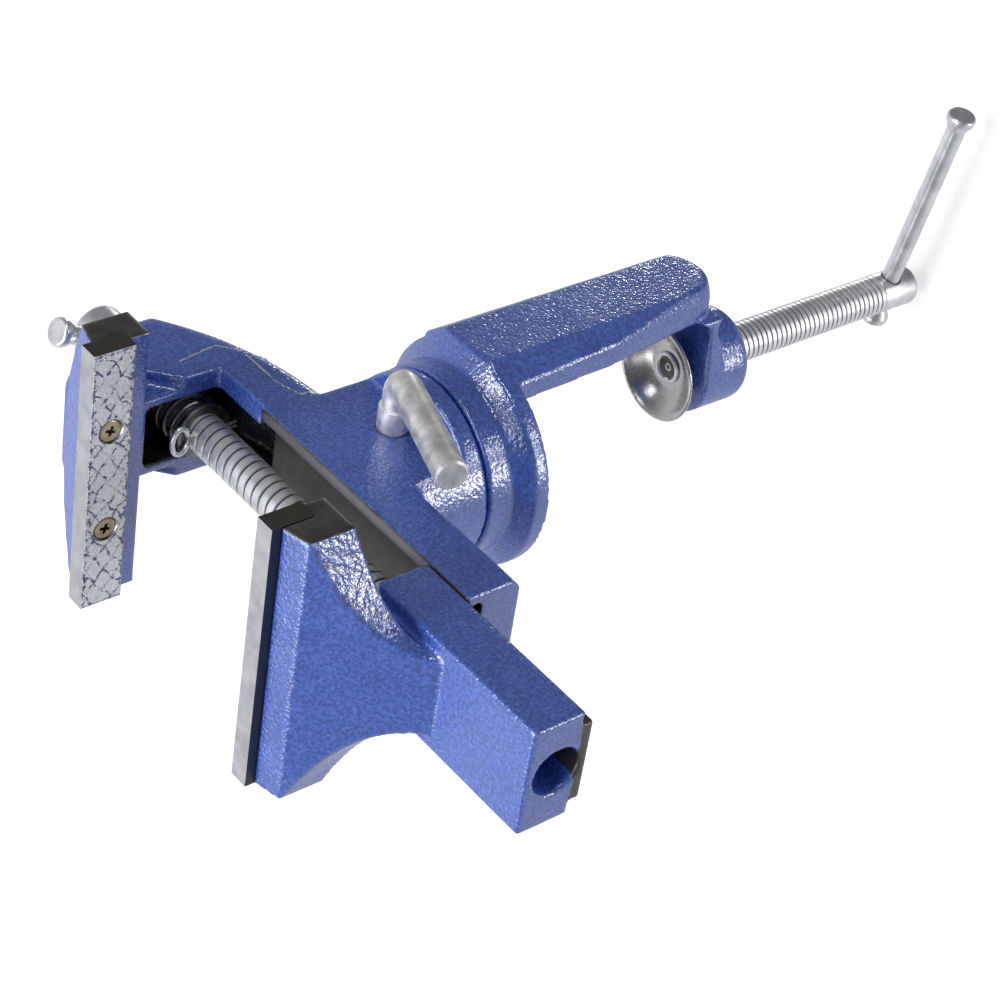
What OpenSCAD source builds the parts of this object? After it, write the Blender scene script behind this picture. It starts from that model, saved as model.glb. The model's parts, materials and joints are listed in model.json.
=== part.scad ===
// Clamp-on table vise with a swivel base.
// Origin: centre of the swivel disc's underside, which lies on the table top.
// +Z is up, +Y runs from the handle at the front to the moving jaw at the rear.

/* [Jaws] */
// Width of both jaws
jaw_w = 76; // [66:1:86]
// Height of a jaw plate
plate_h = 11.5; // [10:0.5:13]
// Thickness of a jaw plate
plate_t = 5.8; // [4.5:0.1:6.5]
// Height of the jaw plates' top edges above the table
jaw_top_z = 93.7; // [92:0.5:100]
// Fixed plate's gripping face, from the swivel axis
fixed_face_y = -30.5; // [-33:0.5:-29]
// Opening between the plates as drawn
jaw_gap = 66.7; // [40:0.1:70]
// Height of the jaw castings below the plate tops
jaw_head_h = 17; // [15:0.5:18]
// Thickness of a jaw casting behind its plate, at its ends
jaw_back_t = 7.2; // [6:0.1:9]
// Bulge of the fixed jaw's front face at mid width
jaw_bulge = 9; // [5:0.1:10]
// Drop of a casting's top edge below the plate, at the plate
casting_drop = 2.5; // [1.5:0.1:3.5]
// Depth by which the casting under a plate stands back from its face
ledge_back = 3.2; // [2:0.1:4]
// Distance between the two screws of a plate
plate_screw_gap = 29.4; // [24:0.1:40]
// Head diameter of a plate screw
plate_screw_head_d = 6.2; // [5.4:0.1:7]
// Shank diameter of a plate screw
plate_screw_d = 3.4; // [3:0.1:4]
// Length of a plate screw
plate_screw_l = 10.5; // [8:0.1:11]

/* [Body] */
// Width of the beam and the slide
beam_w = 30.6; // [29:0.2:34]
// Height of the machined rails above the table
beam_top_z = 51; // [49:0.2:51.2]
// Height of the beam
beam_h = 16; // [14:0.5:17]
// Rear end of the beam, from the swivel axis
beam_rear_y = 60.8; // [56:0.2:62]
// Front end of the machined rails
rail_front_y = -21.7; // [-24:0.1:-20]
// Width of the dovetail groove at the rails
groove_w = 23; // [21:0.2:23.4]
// Depth of the dovetail groove
groove_depth = 4.7; // [4:0.1:5]
// Undercut of the groove on each side
groove_undercut = 1; // [0.6:0.1:1.4]
// Bevel along the beam's lower edges
beam_bevel = 2.6; // [1:0.1:4]
// Radius of the gooseneck's underside
neck_under_r = 85; // [82:0.5:90]
// Radius of the gooseneck's front
neck_front_r = 39; // [36:0.5:42]
// Front of the gooseneck, from the swivel axis
neck_front_y = -69; // [-71:0.2:-67]
// Depth of the gooseneck's underside below the beam, at the pedestal
neck_drop = 2.4; // [1:0.1:3]
// Rounding along the gooseneck's edges
neck_round = 4.5; // [3:0.5:8]
// Step from the machined rails down to the painted wall tops
paint_step = 0.6; // [0.3:0.1:1]
// Rear face of the neck under the fixed jaw
neck_rear_y = -40.6; // [-43:0.2:-38]
// Width of the neck's waist under the fixed jaw
neck_waist_w = 23; // [22:0.2:26]
// Lower end of the neck's waist, above the table
neck_waist_z = 61; // [58:0.5:64]
// Width of the hollow in the neck
cavity_w = 17.4; // [17:0.2:19]
// Wall under the hollow
cavity_wall = 5; // [4:0.5:6]
// Inner face of the front wall, where the spring sits
cavity_front_y = -57; // [-58.5:0.1:-55]
// Top of the hollow in the neck
cavity_top_z = 71; // [68:0.5:72]
// Radius of the round pedestal
pedestal_r = 24.9; // [23:0.1:25.5]
// Height of the pedestal's round flange
flange_h = 5.5; // [4:0.1:7]

/* [Slide] */
// Height of the slide above the rails
slide_h = 14.3; // [13.6:0.1:16]
// Length of the slide
slide_l = 58; // [50:1:66]
// Slide's front end behind the moving plate's face
slide_set_back = 9.6; // [8.5:0.1:11]
// Thickness of the moving jaw casting behind its plate
moving_back_t = 7.5; // [6:0.1:9]
// Height of the slide's dovetail tongue
tongue_h = 2.7; // [2.2:0.1:3.4]
// Length of the rib behind the moving jaw
rib_l = 22.5; // [16:0.5:28]
// Width of the rib where it runs out on the slide
rib_end_w = 22.4; // [16:0.2:26]
// Length of the lead nut
nut_l = 12; // [10:0.5:16]
// Width of the lead nut
nut_w = 16; // [14:0.2:16.4]
// Lead nut's front face behind the slide's front end
nut_set_back = 4.5; // [3:0.5:8]

/* [Lead screw] */
// Diameter of the lead screw
lead_d = 10.5; // [9.5:0.1:10.6]
// Height of the lead screw's axis above the table
lead_z = 56.8; // [56.7:0.05:57.5]
// Rear end of the lead screw, from the swivel axis
lead_rear_y = 70; // [66:0.5:76]
// Diameter of the screw's head
lead_head_d = 14.4; // [13:0.1:16]
// Length of the screw's head
lead_head_l = 15.5; // [14:0.1:19]
// T-bar's distance from the front end of the head
lead_bar_set = 7.4; // [6:0.1:8.5]
// Height of the boss that the head's washer bears on
lead_boss_h = 1.4; // [0.8:0.1:2.4]
// Diameter of the thrust washer and its boss
thrust_d = 18; // [16:0.5:20]
// Thickness of the thrust washer
thrust_t = 1.5; // [1:0.1:2]
// Front face of the retaining washer
keeper_y = -38.2; // [-39.5:0.1:-37.5]
// Diameter of the retaining washer
keeper_d = 15.2; // [14.6:0.2:17]
// Thickness of the retaining washer
keeper_t = 1.5; // [1:0.1:2]
// Wire diameter of the cotter pin
cotter_d = 1.6; // [1.2:0.1:1.8]
// Turn of the cotter pin about the screw, from straight across
cotter_turn = 90; // [60:1:120]
// Mean radius of the spring
spring_r = 6.7; // [6.5:0.1:7]
// Wire diameter of the spring
spring_wire_d = 1.5; // [1:0.1:1.8]
// Number of turns of the spring
spring_turns = 4.5; // [3:0.5:6]
// Turn of the lead screw's T-bar about the screw, from upright
lead_bar_turn = -27; // [-90:1:90]

/* [Clamp] */
// Clamp opening as drawn, from the disc to the pad's rim
clamp_gap = 62; // [20:0.5:62]
// Radius of the swivel disc
disc_r = 30.1; // [28:0.1:32]
// Height of the disc's rim
disc_rim_h = 4.3; // [3:0.1:6]
// Height of the disc
disc_h = 14.6; // [12:0.1:14.7]
// Gap between the disc and the pedestal
swivel_gap = 0.4; // [0.3:0.1:0.8]
// Diameter of the swivel spigot
spigot_d = 20; // [16:0.5:22]
// Height of the swivel spigot above the disc
spigot_h = 19; // [17:0.5:19.5]
// Offset of the clamp screw's axis from the swivel axis
clamp_axis_x = -1.6; // [-4:0.1:0]
// Offset of the clamp arm's and screw's plane from the swivel axis
clamp_axis_y = -2; // [-4:0.1:0]
// Turn of the clamp's arm about its screw, as drawn
arm_turn = 4; // [-10:1:10]
// Distance from the clamp screw's axis to the arm's outer face
arm_reach = 28.4; // [27:0.1:30]
// Thickness of the arm
arm_t = 9.8; // [9.4:0.1:11]
// Width of the arm at the disc
arm_top_w = 32.4; // [28:0.2:34]
// Width of the arm at the foot
arm_foot_w = 25; // [22:0.5:26]
// Width of the bevels along the arm
arm_bevel = 4.7; // [2:0.1:5]
// Lower end of the arm, below the table plane
arm_end_z = -75; // [-77:0.5:-74.5]
// Radius of the arm's domed end
arm_dome_r = 12.5; // [12:0.1:14]
// Distance of the dome's axis from the arm's outer face
arm_dome_inset = 6; // [5:0.1:8]
// Sideways shift of the dome's axis from the arm's middle
arm_dome_shift = -2; // [-3:0.1:0]
// Top of the foot, below the table plane
foot_top_z = -68.5; // [-70:0.1:-68.5]
// Height of the foot's screw boss
foot_boss_h = 16; // [14:0.5:20]
// Radius of the foot's screw boss
foot_boss_r = 13; // [11.5:0.1:14]
// Height of the web between the arm and the boss
foot_web_h = 5; // [4.6:0.1:6.5]
// Radius of the scoop under the web, between the arm and the boss
foot_scoop_r = 5.5; // [4:0.1:6]
// Radius of the hollow corner between the arm and the foot
foot_fillet_r = 3; // [2:0.1:4]
// Rounding of the boss's lower edge
foot_boss_round = 2.5; // [1:0.1:3]

/* [Clamp screw] */
// Diameter of the clamp screw
clamp_d = 11; // [10:0.1:12]
// Lower end of the clamp screw, below the disc when drawn
clamp_end_z = -156; // [-162:0.5:-152]
// T-bar's distance from the clamp screw's lower end
clamp_bar_set = 8; // [6:0.1:9]
// Diameter of the pressure pad
pad_d = 27.8; // [24:0.2:30]
// Depth of the pad's dish
pad_dish = 4.6; // [3.6:0.1:4.8]
// Height of the pad
pad_h = 6.2; // [6:0.1:6.2]
// Diameter of the screw's riveted neck
rivet_d = 6; // [5:0.1:7]
// Turn of the clamp T-bar about the screw, from the arm's side
clamp_bar_turn = -9.5; // [-60:0.5:60]

/* [Handles] */
// Diameter of both T-bars
bar_d = 5.2; // [4.6:0.1:5.6]
// Length of a T-bar over its heads
bar_l = 73.5; // [68:0.5:84]
// Diameter of a T-bar's heads
bar_head_d = 7.8; // [7:0.1:9]
// Length of the round part of a T-bar's head
bar_head_l = 2; // [1.4:0.1:3]
// Length of the taper behind a T-bar's head
bar_taper_l = 2.6; // [1.6:0.1:4]
// Offset of the lead screw's T-bar from its middle, as drawn
lead_bar_offset = 18.5; // [0:0.5:24]
// Distance from the clamp screw's axis to its T-bar's near end, as drawn
clamp_bar_near = 10.55; // [10.55:0.05:34]
// Diameter of the swivel lock lever's rod
lever_d = 8.2; // [7:0.1:9]
// Diameter of the lever's threaded end
lever_thread_d = 7; // [6:0.1:7.6]
// Height of the lever's screw above the table
lever_z = 27.5; // [25:0.1:28.5]
// Distance from the body's axis to the lever's arm
lever_reach = 31; // [30:0.1:34]
// Bend radius of the lever
lever_bend_r = 6; // [5:0.1:8]
// Length of the lever's arm from its screw
lever_l = 40.4; // [34:0.2:48]
// Upward slope of the lever's arm
lever_slope = 19; // [0:1:40]

/* [Hidden] */
$fn = 64;

enamel = "#2f4a9a";
zinc = "#c9ccd0";
iron = "#55524a";
plate_steel = "#8f9196";
brassy = "#b9a06a";

// Radial clearance of a running fit
run = 0.05;
// Clearance of sliding faces
slip = 0.3;
// Gap between flat faces that turn on each other
face_gap = 0.1;
// Overrun of a cut past the face that it opens
over = 1;
// Overlap of solids that meet in one piece
lap = 0.01;

half_w = beam_w / 2;
plate_bottom_z = jaw_top_z - plate_h;
head_bottom_z = jaw_top_z - jaw_head_h;
fixed_back_y = fixed_face_y - plate_t;
fixed_front_y = fixed_back_y - jaw_back_t;
moving_face_y = fixed_face_y + jaw_gap;
moving_back_y = moving_face_y + plate_t;
moving_rear_y = moving_back_y + moving_back_t;
// Depth by which the casting under the moving plate stands back from its face
moving_ledge_back = 0.9;
plate_mid_z = jaw_top_z - plate_h / 2;
casting_top_z = jaw_top_z - casting_drop;
head_top_slope = 0.25;
// Depth of a plate screw's countersink, and of its head below the plate's face
screw_head_h = 2.2;
screw_sink = 0.15;

under_y = -14;
under_z = beam_top_z - beam_h - neck_drop + neck_under_r;
front_arc_y = neck_front_y + neck_front_r;
front_arc_z = lead_z - 0.8;
// Length of the gooseneck inside the beam
neck_lap = 3;

pedestal_z = disc_h + swivel_gap;
slide_z = beam_top_z + slip;
slide_top_z = slide_z + slide_h;
slide_front_y = moving_face_y + slide_set_back;
nut_y = slide_front_y + nut_set_back;
// Nut's place in the slide: inset from the tongue's underside, roof and fit round it
nut_inset = 0.6;
nut_roof = 1.8;
nut_fit = 0.1;
nut_bottom_z = beam_top_z - tongue_h + nut_inset;
nut_top_z = slide_top_z - nut_roof;
// Radial room round the lead screw in the slide
bore_room = 1.1;

thrust_y = neck_front_y - lead_boss_h;
lead_head_y = thrust_y - face_gap - thrust_t;
lead_front_y = lead_head_y - lead_head_l;
lead_bar_y = lead_front_y + lead_bar_set;
cotter_y = keeper_y + keeper_t + cotter_d / 2 + face_gap;
// Mean radius of the cotter pin's eye
cotter_eye_r = 1.75;

// Turned end of a T-bar, inside its cap
bar_step = 0.8;
bar_spigot_d = bar_d - 2 * bar_step;
bar_spigot_l = bar_taper_l + bar_head_l / 2;

// Groove round the spigot for the lever's tip, and the bevel's set-in on the arm's outer face
spigot_groove = 1.5;
arm_flat_inset = 3.1;
arm_top_z = disc_rim_h - slip;

pad_rim_z = -clamp_gap;
pad_bottom_z = pad_rim_z - pad_h;
clamp_bar_z = clamp_end_z + clamp_bar_set;
clamp_bar_offset = bar_l / 2 - clamp_bar_near;

// Profile drawn in (x, z), run from y0 to y1
module along_y(y0, y1) {
    translate([0, y1, 0]) rotate([90, 0, 0]) linear_extrude(y1 - y0) children();
}

// Profile drawn in (y, z), run across the width w
module along_x(w) {
    rotate([90, 0, 90]) translate([0, 0, -w / 2]) linear_extrude(w) children();
}

// Solid cylinder along Y
module rod_y(d, y0, y1) {
    translate([0, y1, 0]) rotate([90, 0, 0]) cylinder(d = d, h = y1 - y0);
}

// Wheel about an X axis at (y, z), with rounded outer edges
module round_wheel(y, z, r, w, edge) {
    translate([0, y, z]) rotate([0, 90, 0]) rotate_extrude($fn = 128) {
        translate([0, -w / 2 + edge]) square([r, w - 2 * edge]);
        translate([0, -w / 2]) square([r - edge, w]);
        for (s = [-1, 1]) translate([r - edge, s * (w / 2 - edge)]) circle(edge);
    }
}

// Shape of the two jaw plates, face at y = 0 and looking along +Y, top edge at z = 0
module jaw_plate() {
    difference() {
        translate([-jaw_w / 2, -plate_t, -plate_h]) cube([jaw_w, plate_t, plate_h]);
        for (s = [-1, 1]) translate([s * plate_screw_gap / 2, 0, -plate_h / 2]) plate_hole(over);
    }
}

// Countersunk hole, opened by a cut in front of the face
module plate_hole(front) {
    rotate([90, 0, 0]) {
        translate([0, 0, -front]) cylinder(d = plate_screw_d + 2 * run, h = plate_t + 2 * front);
        translate([0, 0, -lap])
            cylinder(d1 = plate_screw_head_d + slip, d2 = plate_screw_d, h = screw_head_h + slip);
    }
}

// Two countersunk plate screws, heads just under the face
module plate_screws() {
    for (s = [-1, 1]) translate([s * plate_screw_gap / 2, -screw_sink, -plate_h / 2]) rotate([90, 0, 0]) {
        cylinder(d1 = plate_screw_head_d, d2 = plate_screw_d, h = screw_head_h);
        cylinder(d = plate_screw_d, h = plate_screw_l);
    }
}

// Two blind holes behind a plate
module plate_taps() {
    for (s = [-1, 1]) translate([s * plate_screw_gap / 2, -plate_t + over, -plate_h / 2])
        rotate([90, 0, 0]) cylinder(d = plate_screw_d, h = plate_screw_l - plate_t + over + slip);
}

module at_fixed_face() translate([0, fixed_face_y, jaw_top_z]) children();
module at_moving_face() translate([0, moving_face_y, jaw_top_z]) rotate([0, 0, 180]) children();

// Fixed jaw's head, bowed in front, with a seat for the plate
module fixed_head() {
    bow_y = fixed_front_y - jaw_bulge;
    bow_r = (pow(jaw_w / 2, 2) + pow(jaw_bulge, 2)) / (2 * jaw_bulge);
    ledge_y = fixed_face_y - ledge_back;
    intersection() {
        along_x(jaw_w) polygon([
            [bow_y - over, head_bottom_z],
            [ledge_y, head_bottom_z],
            [ledge_y, plate_bottom_z],
            [fixed_back_y, plate_bottom_z],
            [fixed_back_y, casting_top_z],
            [bow_y - over, casting_top_z - head_top_slope * (fixed_back_y - bow_y + over)]]);
        translate([0, bow_y + bow_r, 0]) cylinder(r = bow_r, h = jaw_top_z, $fn = 256);
    }
}

// Gooseneck between the beam and the fixed jaw: two round wheels trimmed to its side view
module gooseneck() {
    intersection() {
        round_wheel(under_y, under_z, neck_under_r, beam_w, neck_round);
        round_wheel(front_arc_y, front_arc_z, neck_front_r, beam_w, neck_round);
        along_x(beam_w) polygon([
            [neck_front_y, beam_top_z - beam_h - over],
            [under_y + neck_lap, beam_top_z - beam_h - over],
            [under_y + neck_lap, beam_top_z - paint_step],
            [neck_rear_y, beam_top_z - paint_step],
            [neck_rear_y, head_bottom_z + over],
            [fixed_back_y, head_bottom_z + over],
            [fixed_back_y, jaw_top_z - plate_h],
            [neck_front_y, plate_mid_z]]);
    }
}

// Waist at the rear of the neck, cut from both sides
module neck_waist() {
    depth = 7;
    for (s = [-1, 1]) translate([s * (neck_waist_w + beam_w) / 2, 0, 0]) along_x(beam_w) polygon([
        [neck_rear_y - depth, head_bottom_z], [neck_rear_y - depth, neck_waist_z + depth],
        [neck_rear_y + over, neck_waist_z - over], [neck_rear_y + over, head_bottom_z]]);
}

module beam() {
    bottom_z = beam_top_z - beam_h;
    along_y(rail_front_y, beam_rear_y) polygon([
        [-half_w, beam_top_z], [-half_w, bottom_z + beam_bevel], [-half_w + beam_bevel, bottom_z],
        [half_w - beam_bevel, bottom_z], [half_w, bottom_z + beam_bevel], [half_w, beam_top_z]]);
}

// Round pedestal with two flats in line with the beam's sides
module pedestal() {
    top_z = beam_top_z - beam_h + beam_bevel;
    translate([0, 0, pedestal_z]) cylinder(r = pedestal_r, h = flange_h, $fn = 128);
    intersection() {
        translate([0, 0, pedestal_z]) cylinder(r = pedestal_r, h = top_z - pedestal_z, $fn = 128);
        translate([-half_w, -pedestal_r, pedestal_z]) cube([beam_w, 2 * pedestal_r, top_z - pedestal_z]);
    }
}

// Hollow of the neck, open to the rear and the top
module neck_cavity() {
    along_x(cavity_w) intersection() {
        translate([under_y, under_z]) circle(neck_under_r - cavity_wall, $fn = 128);
        translate([cavity_front_y, 0]) square([rail_front_y - cavity_front_y, cavity_top_z]);
    }
}

// Profile of the dovetail groove down to a depth, with a clearance on both flanks
module dovetail(depth, clear) {
    a = groove_w / 2 - clear;
    b = a + groove_undercut * depth / groove_depth;
    polygon([[-a, 0], [-b, -depth], [b, -depth], [a, 0]]);
}

module vise_body() {
    color(enamel) difference() {
        union() {
            beam();
            difference() {
                gooseneck();
                neck_waist();
            }
            pedestal();
            fixed_head();
            translate([0, 0, lead_z]) rod_y(thrust_d, thrust_y, cavity_front_y);
        }
        neck_cavity();
        translate([0, 0, lead_z]) rod_y(spring_seat_d, cavity_front_y, neck_rear_y);
        along_y(rail_front_y - over, beam_rear_y + over) translate([0, beam_top_z])
            union() {
                dovetail(groove_depth, 0);
                translate([-groove_w / 2, -lap]) square([groove_w, over]);
            }
        translate([0, 0, lead_z]) rod_y(lead_d + 2 * run, thrust_y - over, cavity_front_y + over);
        translate([0, 0, pedestal_z - over])
            cylinder(d = spigot_d + 2 * run, h = spigot_h - swivel_gap + slip + over);
        translate([-half_w - over, 0, lever_z]) rotate([0, 90, 0])
            cylinder(d = lever_thread_d + 2 * run, h = half_w + over);
        at_fixed_face() plate_taps();
    }
}

module fixed_jaw_plate() {
    color(plate_steel) at_fixed_face() jaw_plate();
}

module fixed_plate_screws() {
    color(brassy) at_fixed_face() plate_screws();
}

module moving_jaw_plate() {
    color(plate_steel) at_moving_face() jaw_plate();
}

module moving_plate_screws() {
    color(brassy) at_moving_face() plate_screws();
}

// Front view of the moving jaw: a rib on the slide, flaring to the jaw's width
module moving_front_view() {
    steps = 8;
    flare = [for (i = [0 : steps])
        let (t = i / steps)
        [(rib_end_w + (jaw_w - rib_end_w) * t * t) / 2, slide_top_z + (head_bottom_z - slide_top_z) * t]];
    right = concat([[rib_end_w / 2, slide_z]], flare, [[jaw_w / 2, jaw_top_z]]);
    left = [for (i = [len(right) - 1 : -1 : 0]) [-right[i][0], right[i][1]]];
    polygon(concat(right, left));
}

// Plan of the moving jaw's rib: full width at the jaw, drawn in towards the rear
module moving_plan() {
    steps = 10;
    edge = [for (i = [0 : steps])
        let (t = i / steps)
        [rib_end_w / 2 + (jaw_w - rib_end_w) / 2 * pow(1 - t, 2.4), moving_rear_y + rib_l * t]];
    right = concat([[jaw_w / 2, moving_face_y]], edge);
    left = [for (i = [len(right) - 1 : -1 : 0]) [-right[i][0], right[i][1]]];
    polygon(concat(right, left));
}

module moving_head() {
    ledge_y = moving_face_y + moving_ledge_back;
    rear_top_z = casting_top_z - head_top_slope * moving_back_t;
    intersection() {
        along_x(jaw_w) polygon([
            [slide_front_y, slide_z],
            [slide_front_y, slide_top_z],
            [ledge_y, head_bottom_z],
            [ledge_y, plate_bottom_z],
            [moving_back_y, plate_bottom_z],
            [moving_back_y, casting_top_z],
            [moving_rear_y, rear_top_z],
            [moving_rear_y + rib_l, slide_top_z - lap],
            [moving_rear_y + rib_l, slide_z]]);
        along_y(moving_face_y, moving_rear_y + rib_l) moving_front_view();
        linear_extrude(jaw_top_z) moving_plan();
    }
}

module moving_jaw() {
    bore_d = lead_d + 2 * bore_room;
    color(enamel) difference() {
        union() {
            translate([-half_w, slide_front_y, slide_z]) cube([beam_w, slide_l, slide_h]);
            moving_head();
            along_y(slide_front_y, slide_front_y + slide_l) translate([0, beam_top_z]) {
                dovetail(tongue_h, slip);
                translate([-groove_w / 2 + slip, -lap]) square([groove_w - 2 * slip, 2 * slip]);
            }
        }
        translate([0, 0, lead_z]) rod_y(bore_d, moving_face_y - over, slide_front_y + slide_l + over);
        translate([-nut_w / 2 - nut_fit, nut_y - nut_fit, beam_top_z - groove_depth])
            cube([nut_w + 2 * nut_fit, nut_l + 2 * nut_fit, nut_top_z + nut_fit - beam_top_z + groove_depth]);
        at_moving_face() plate_taps();
    }
}

module lead_nut() {
    color(iron) difference() {
        translate([-nut_w / 2, nut_y, nut_bottom_z]) cube([nut_w, nut_l, nut_top_z - nut_bottom_z]);
        translate([0, 0, lead_z]) rod_y(lead_d + 2 * run, nut_y - over, nut_y + nut_l + over);
    }
}

// Line of the lead screw's T-bar along Z, crossing the screw at z = 0
module at_lead_hole() translate([0, lead_bar_y, lead_z]) rotate([0, lead_bar_turn, 0]) children();
module at_lead_bar() at_lead_hole() translate([0, 0, -lead_bar_offset]) children();

// Clamp screw's axis
module at_clamp() translate([clamp_axis_x, clamp_axis_y, 0]) children();

// Line of the clamp screw's T-bar along Z, crossing the screw at z = 0
module at_clamp_hole()
    at_clamp() translate([0, 0, clamp_bar_z]) rotate([0, 0, clamp_bar_turn])
        rotate([0, -90, 0]) children();
module at_clamp_bar() at_clamp_hole() translate([0, 0, clamp_bar_offset]) children();

module lead_screw() {
    tip = 1.2;
    color(zinc) difference() {
        union() {
            translate([0, 0, lead_z]) {
                rod_y(lead_d, lead_head_y, lead_rear_y - tip);
                translate([0, lead_rear_y - tip, 0]) rotate([-90, 0, 0])
                    cylinder(d1 = lead_d, d2 = lead_d - 2 * tip, h = tip);
                translate([0, lead_front_y, 0]) rotate([-90, 0, 0])
                    cylinder(d1 = lead_head_d - 2 * tip, d2 = lead_head_d, h = tip);
                rod_y(lead_head_d, lead_front_y + tip, lead_head_y);
            }
        }
        at_lead_hole() cylinder(d = bar_d + 2 * run, h = 2 * lead_head_d, center = true);
        translate([0, cotter_y, lead_z]) rotate([0, cotter_turn, 0]) rotate([0, 90, 0])
            cylinder(d = cotter_d + 2 * run, h = 2 * lead_d, center = true);
    }
}

// Flat washer about the lead screw
module lead_washer(d, y, t) {
    translate([0, 0, lead_z]) difference() {
        rod_y(d, y, y + t);
        rod_y(lead_d + 2 * run, y - over, y + t + over);
    }
}

module thrust_washer() {
    color(zinc) lead_washer(thrust_d - over, lead_head_y, thrust_t);
}

module retaining_washer() {
    color(zinc) lead_washer(keeper_d, keeper_y, keeper_t);
}

// Split pin through the lead screw, with its eye on top
module cotter_pin() {
    eye_x = -(lead_d + cotter_d) / 2 - face_gap;
    legs_l = 4;
    color(zinc) translate([0, cotter_y, lead_z]) rotate([0, cotter_turn, 0]) {
        translate([eye_x, 0, 0]) rotate([0, 90, 0]) cylinder(d = cotter_d, h = lead_d / 2 + legs_l - eye_x);
        translate([eye_x - cotter_eye_r, 0, 0]) rotate([90, 0, 0])
            rotate_extrude() translate([cotter_eye_r, 0]) circle(d = cotter_d, $fn = 24);
    }
}

// Centre line of the spring: a helix between two short straight ends along the screw
spring_y0 = cavity_front_y;
spring_y1 = keeper_y - slip;
spring_seat_d = 2 * (spring_r + slip) + spring_wire_d;
spring_straight = spring_wire_d;
spring_rings = 8;
spring_steps = spring_rings * spring_turns;
spring_pitch = (spring_y1 - spring_y0 - 2 * spring_straight) / spring_turns;
spring_line = concat(
    [[spring_r, spring_y0, 0]],
    [for (i = [0 : spring_steps])
        let (a = 360 * i / spring_rings)
        let (y = spring_y0 + spring_straight + spring_pitch * i / spring_rings)
        [spring_r * cos(a), y, spring_r * sin(a)]],
    [[spring_r * cos(360 * spring_turns), spring_y1, spring_r * sin(360 * spring_turns)]]);

function unit(v) = v / norm(v);
function tangent(p, i) = unit(p[min(i + 1, len(p) - 1)] - p[max(i - 1, 0)]);
// Ring of points round one point of a line, square to the line
function ring(p, i, r, sides) =
    let (
        end = i == 0 || i == len(p) - 1,
        t = end ? [0, 1, 0] : tangent(p, i),
        out = unit([p[i][0], 0, p[i][2]]),
        u = unit(out - t * (out * t)),
        v = cross(t, u))
    [for (k = [0 : sides - 1]) p[i] + r * (cos(360 * k / sides) * u + sin(360 * k / sides) * v)];

// Closed tube along a line of points
module tube(p, r, sides) {
    rings = [for (i = [0 : len(p) - 1]) each ring(p, i, r, sides)];
    last = sides * (len(p) - 1);
    walls = [for (i = [0 : len(p) - 2], k = [0 : sides - 1])
        let (a = sides * i + k, b = sides * i + (k + 1) % sides)
        each [[a, b, a + sides], [b, b + sides, a + sides]]];
    caps = [for (k = [1 : sides - 2]) each [[0, k + 1, k], [last, last + k, last + k + 1]]];
    polyhedron(points = rings, faces = concat(walls, caps), convexity = 6);
}

// Least gap of the spring to itself, over points one turn or more apart
spring_last = len(spring_line) - 1;
spring_least = min([for (i = [0 : spring_last], j = [i + spring_rings - 1 : 1 : spring_last])
    norm(spring_line[i] - spring_line[j])]) - spring_wire_d;
echo(spring_least_gap = spring_least);

module lead_spring() {
    color(zinc) translate([0, 0, lead_z]) tube(spring_line, spring_wire_d / 2, 6);
}

// Head of a T-bar, standing on z = 0 with its flat end upwards
module bar_head() {
    cylinder(d1 = bar_d, d2 = bar_head_d, h = bar_taper_l);
    translate([0, 0, bar_taper_l]) cylinder(d = bar_head_d, h = bar_head_l);
}

// T-bar along Z with one forged head, its other end turned down for a cap
module tbar() {
    head_z = bar_l / 2 - bar_taper_l - bar_head_l;
    translate([0, 0, head_z]) bar_head();
    translate([0, 0, -head_z]) cylinder(d = bar_d, h = 2 * head_z);
    translate([0, 0, -head_z - bar_spigot_l]) cylinder(d = bar_spigot_d, h = bar_spigot_l + over);
}

// Cap pressed on the turned end of a T-bar
module tbar_cap() {
    head_z = bar_l / 2 - bar_taper_l - bar_head_l;
    difference() {
        translate([0, 0, -head_z]) rotate([180, 0, 0]) bar_head();
        translate([0, 0, -head_z - bar_spigot_l]) cylinder(d = bar_spigot_d, h = bar_spigot_l + over);
    }
}

module lead_tbar() {
    color(zinc) at_lead_bar() tbar();
}

module lead_tbar_cap() {
    color(zinc) at_lead_bar() tbar_cap();
}

module clamp_tbar() {
    color(zinc) at_clamp_bar() tbar();
}

module clamp_tbar_cap() {
    color(zinc) at_clamp_bar() tbar_cap();
}

// L-shaped lock: a screw into the spigot's groove, a bend and a plain arm
module swivel_lock_lever() {
    tip_x = -spigot_d / 2 + spigot_groove - slip;
    bend_x = -lever_reach + lever_bend_r;
    thread_end_x = -half_w - slip;
    color(zinc) translate([0, 0, lever_z]) rotate([lever_slope, 0, 0]) {
        translate([thread_end_x, 0, 0]) rotate([0, 90, 0])
            cylinder(d = lever_thread_d, h = tip_x - thread_end_x);
        translate([bend_x, 0, 0]) rotate([0, 90, 0]) cylinder(d = lever_d, h = thread_end_x - bend_x);
        translate([bend_x, lever_bend_r, 0]) rotate([0, 0, 180]) rotate_extrude(angle = 90)
            translate([lever_bend_r, 0]) circle(d = lever_d);
        translate([-lever_reach, 0, 0]) rod_y(lever_d, lever_bend_r, lever_l);
    }
}

// Cross-section of the clamp arm, bevelled along its outer edges
module arm_section() {
    w = arm_top_w / 2;
    flat = arm_foot_w / 2 - arm_flat_inset;
    polygon([
        [-arm_reach, -flat], [-arm_reach + arm_bevel, -w], [-arm_reach + arm_t, -w],
        [-arm_reach + arm_t, w], [-arm_reach + arm_bevel, w], [-arm_reach, flat]]);
}

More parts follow.
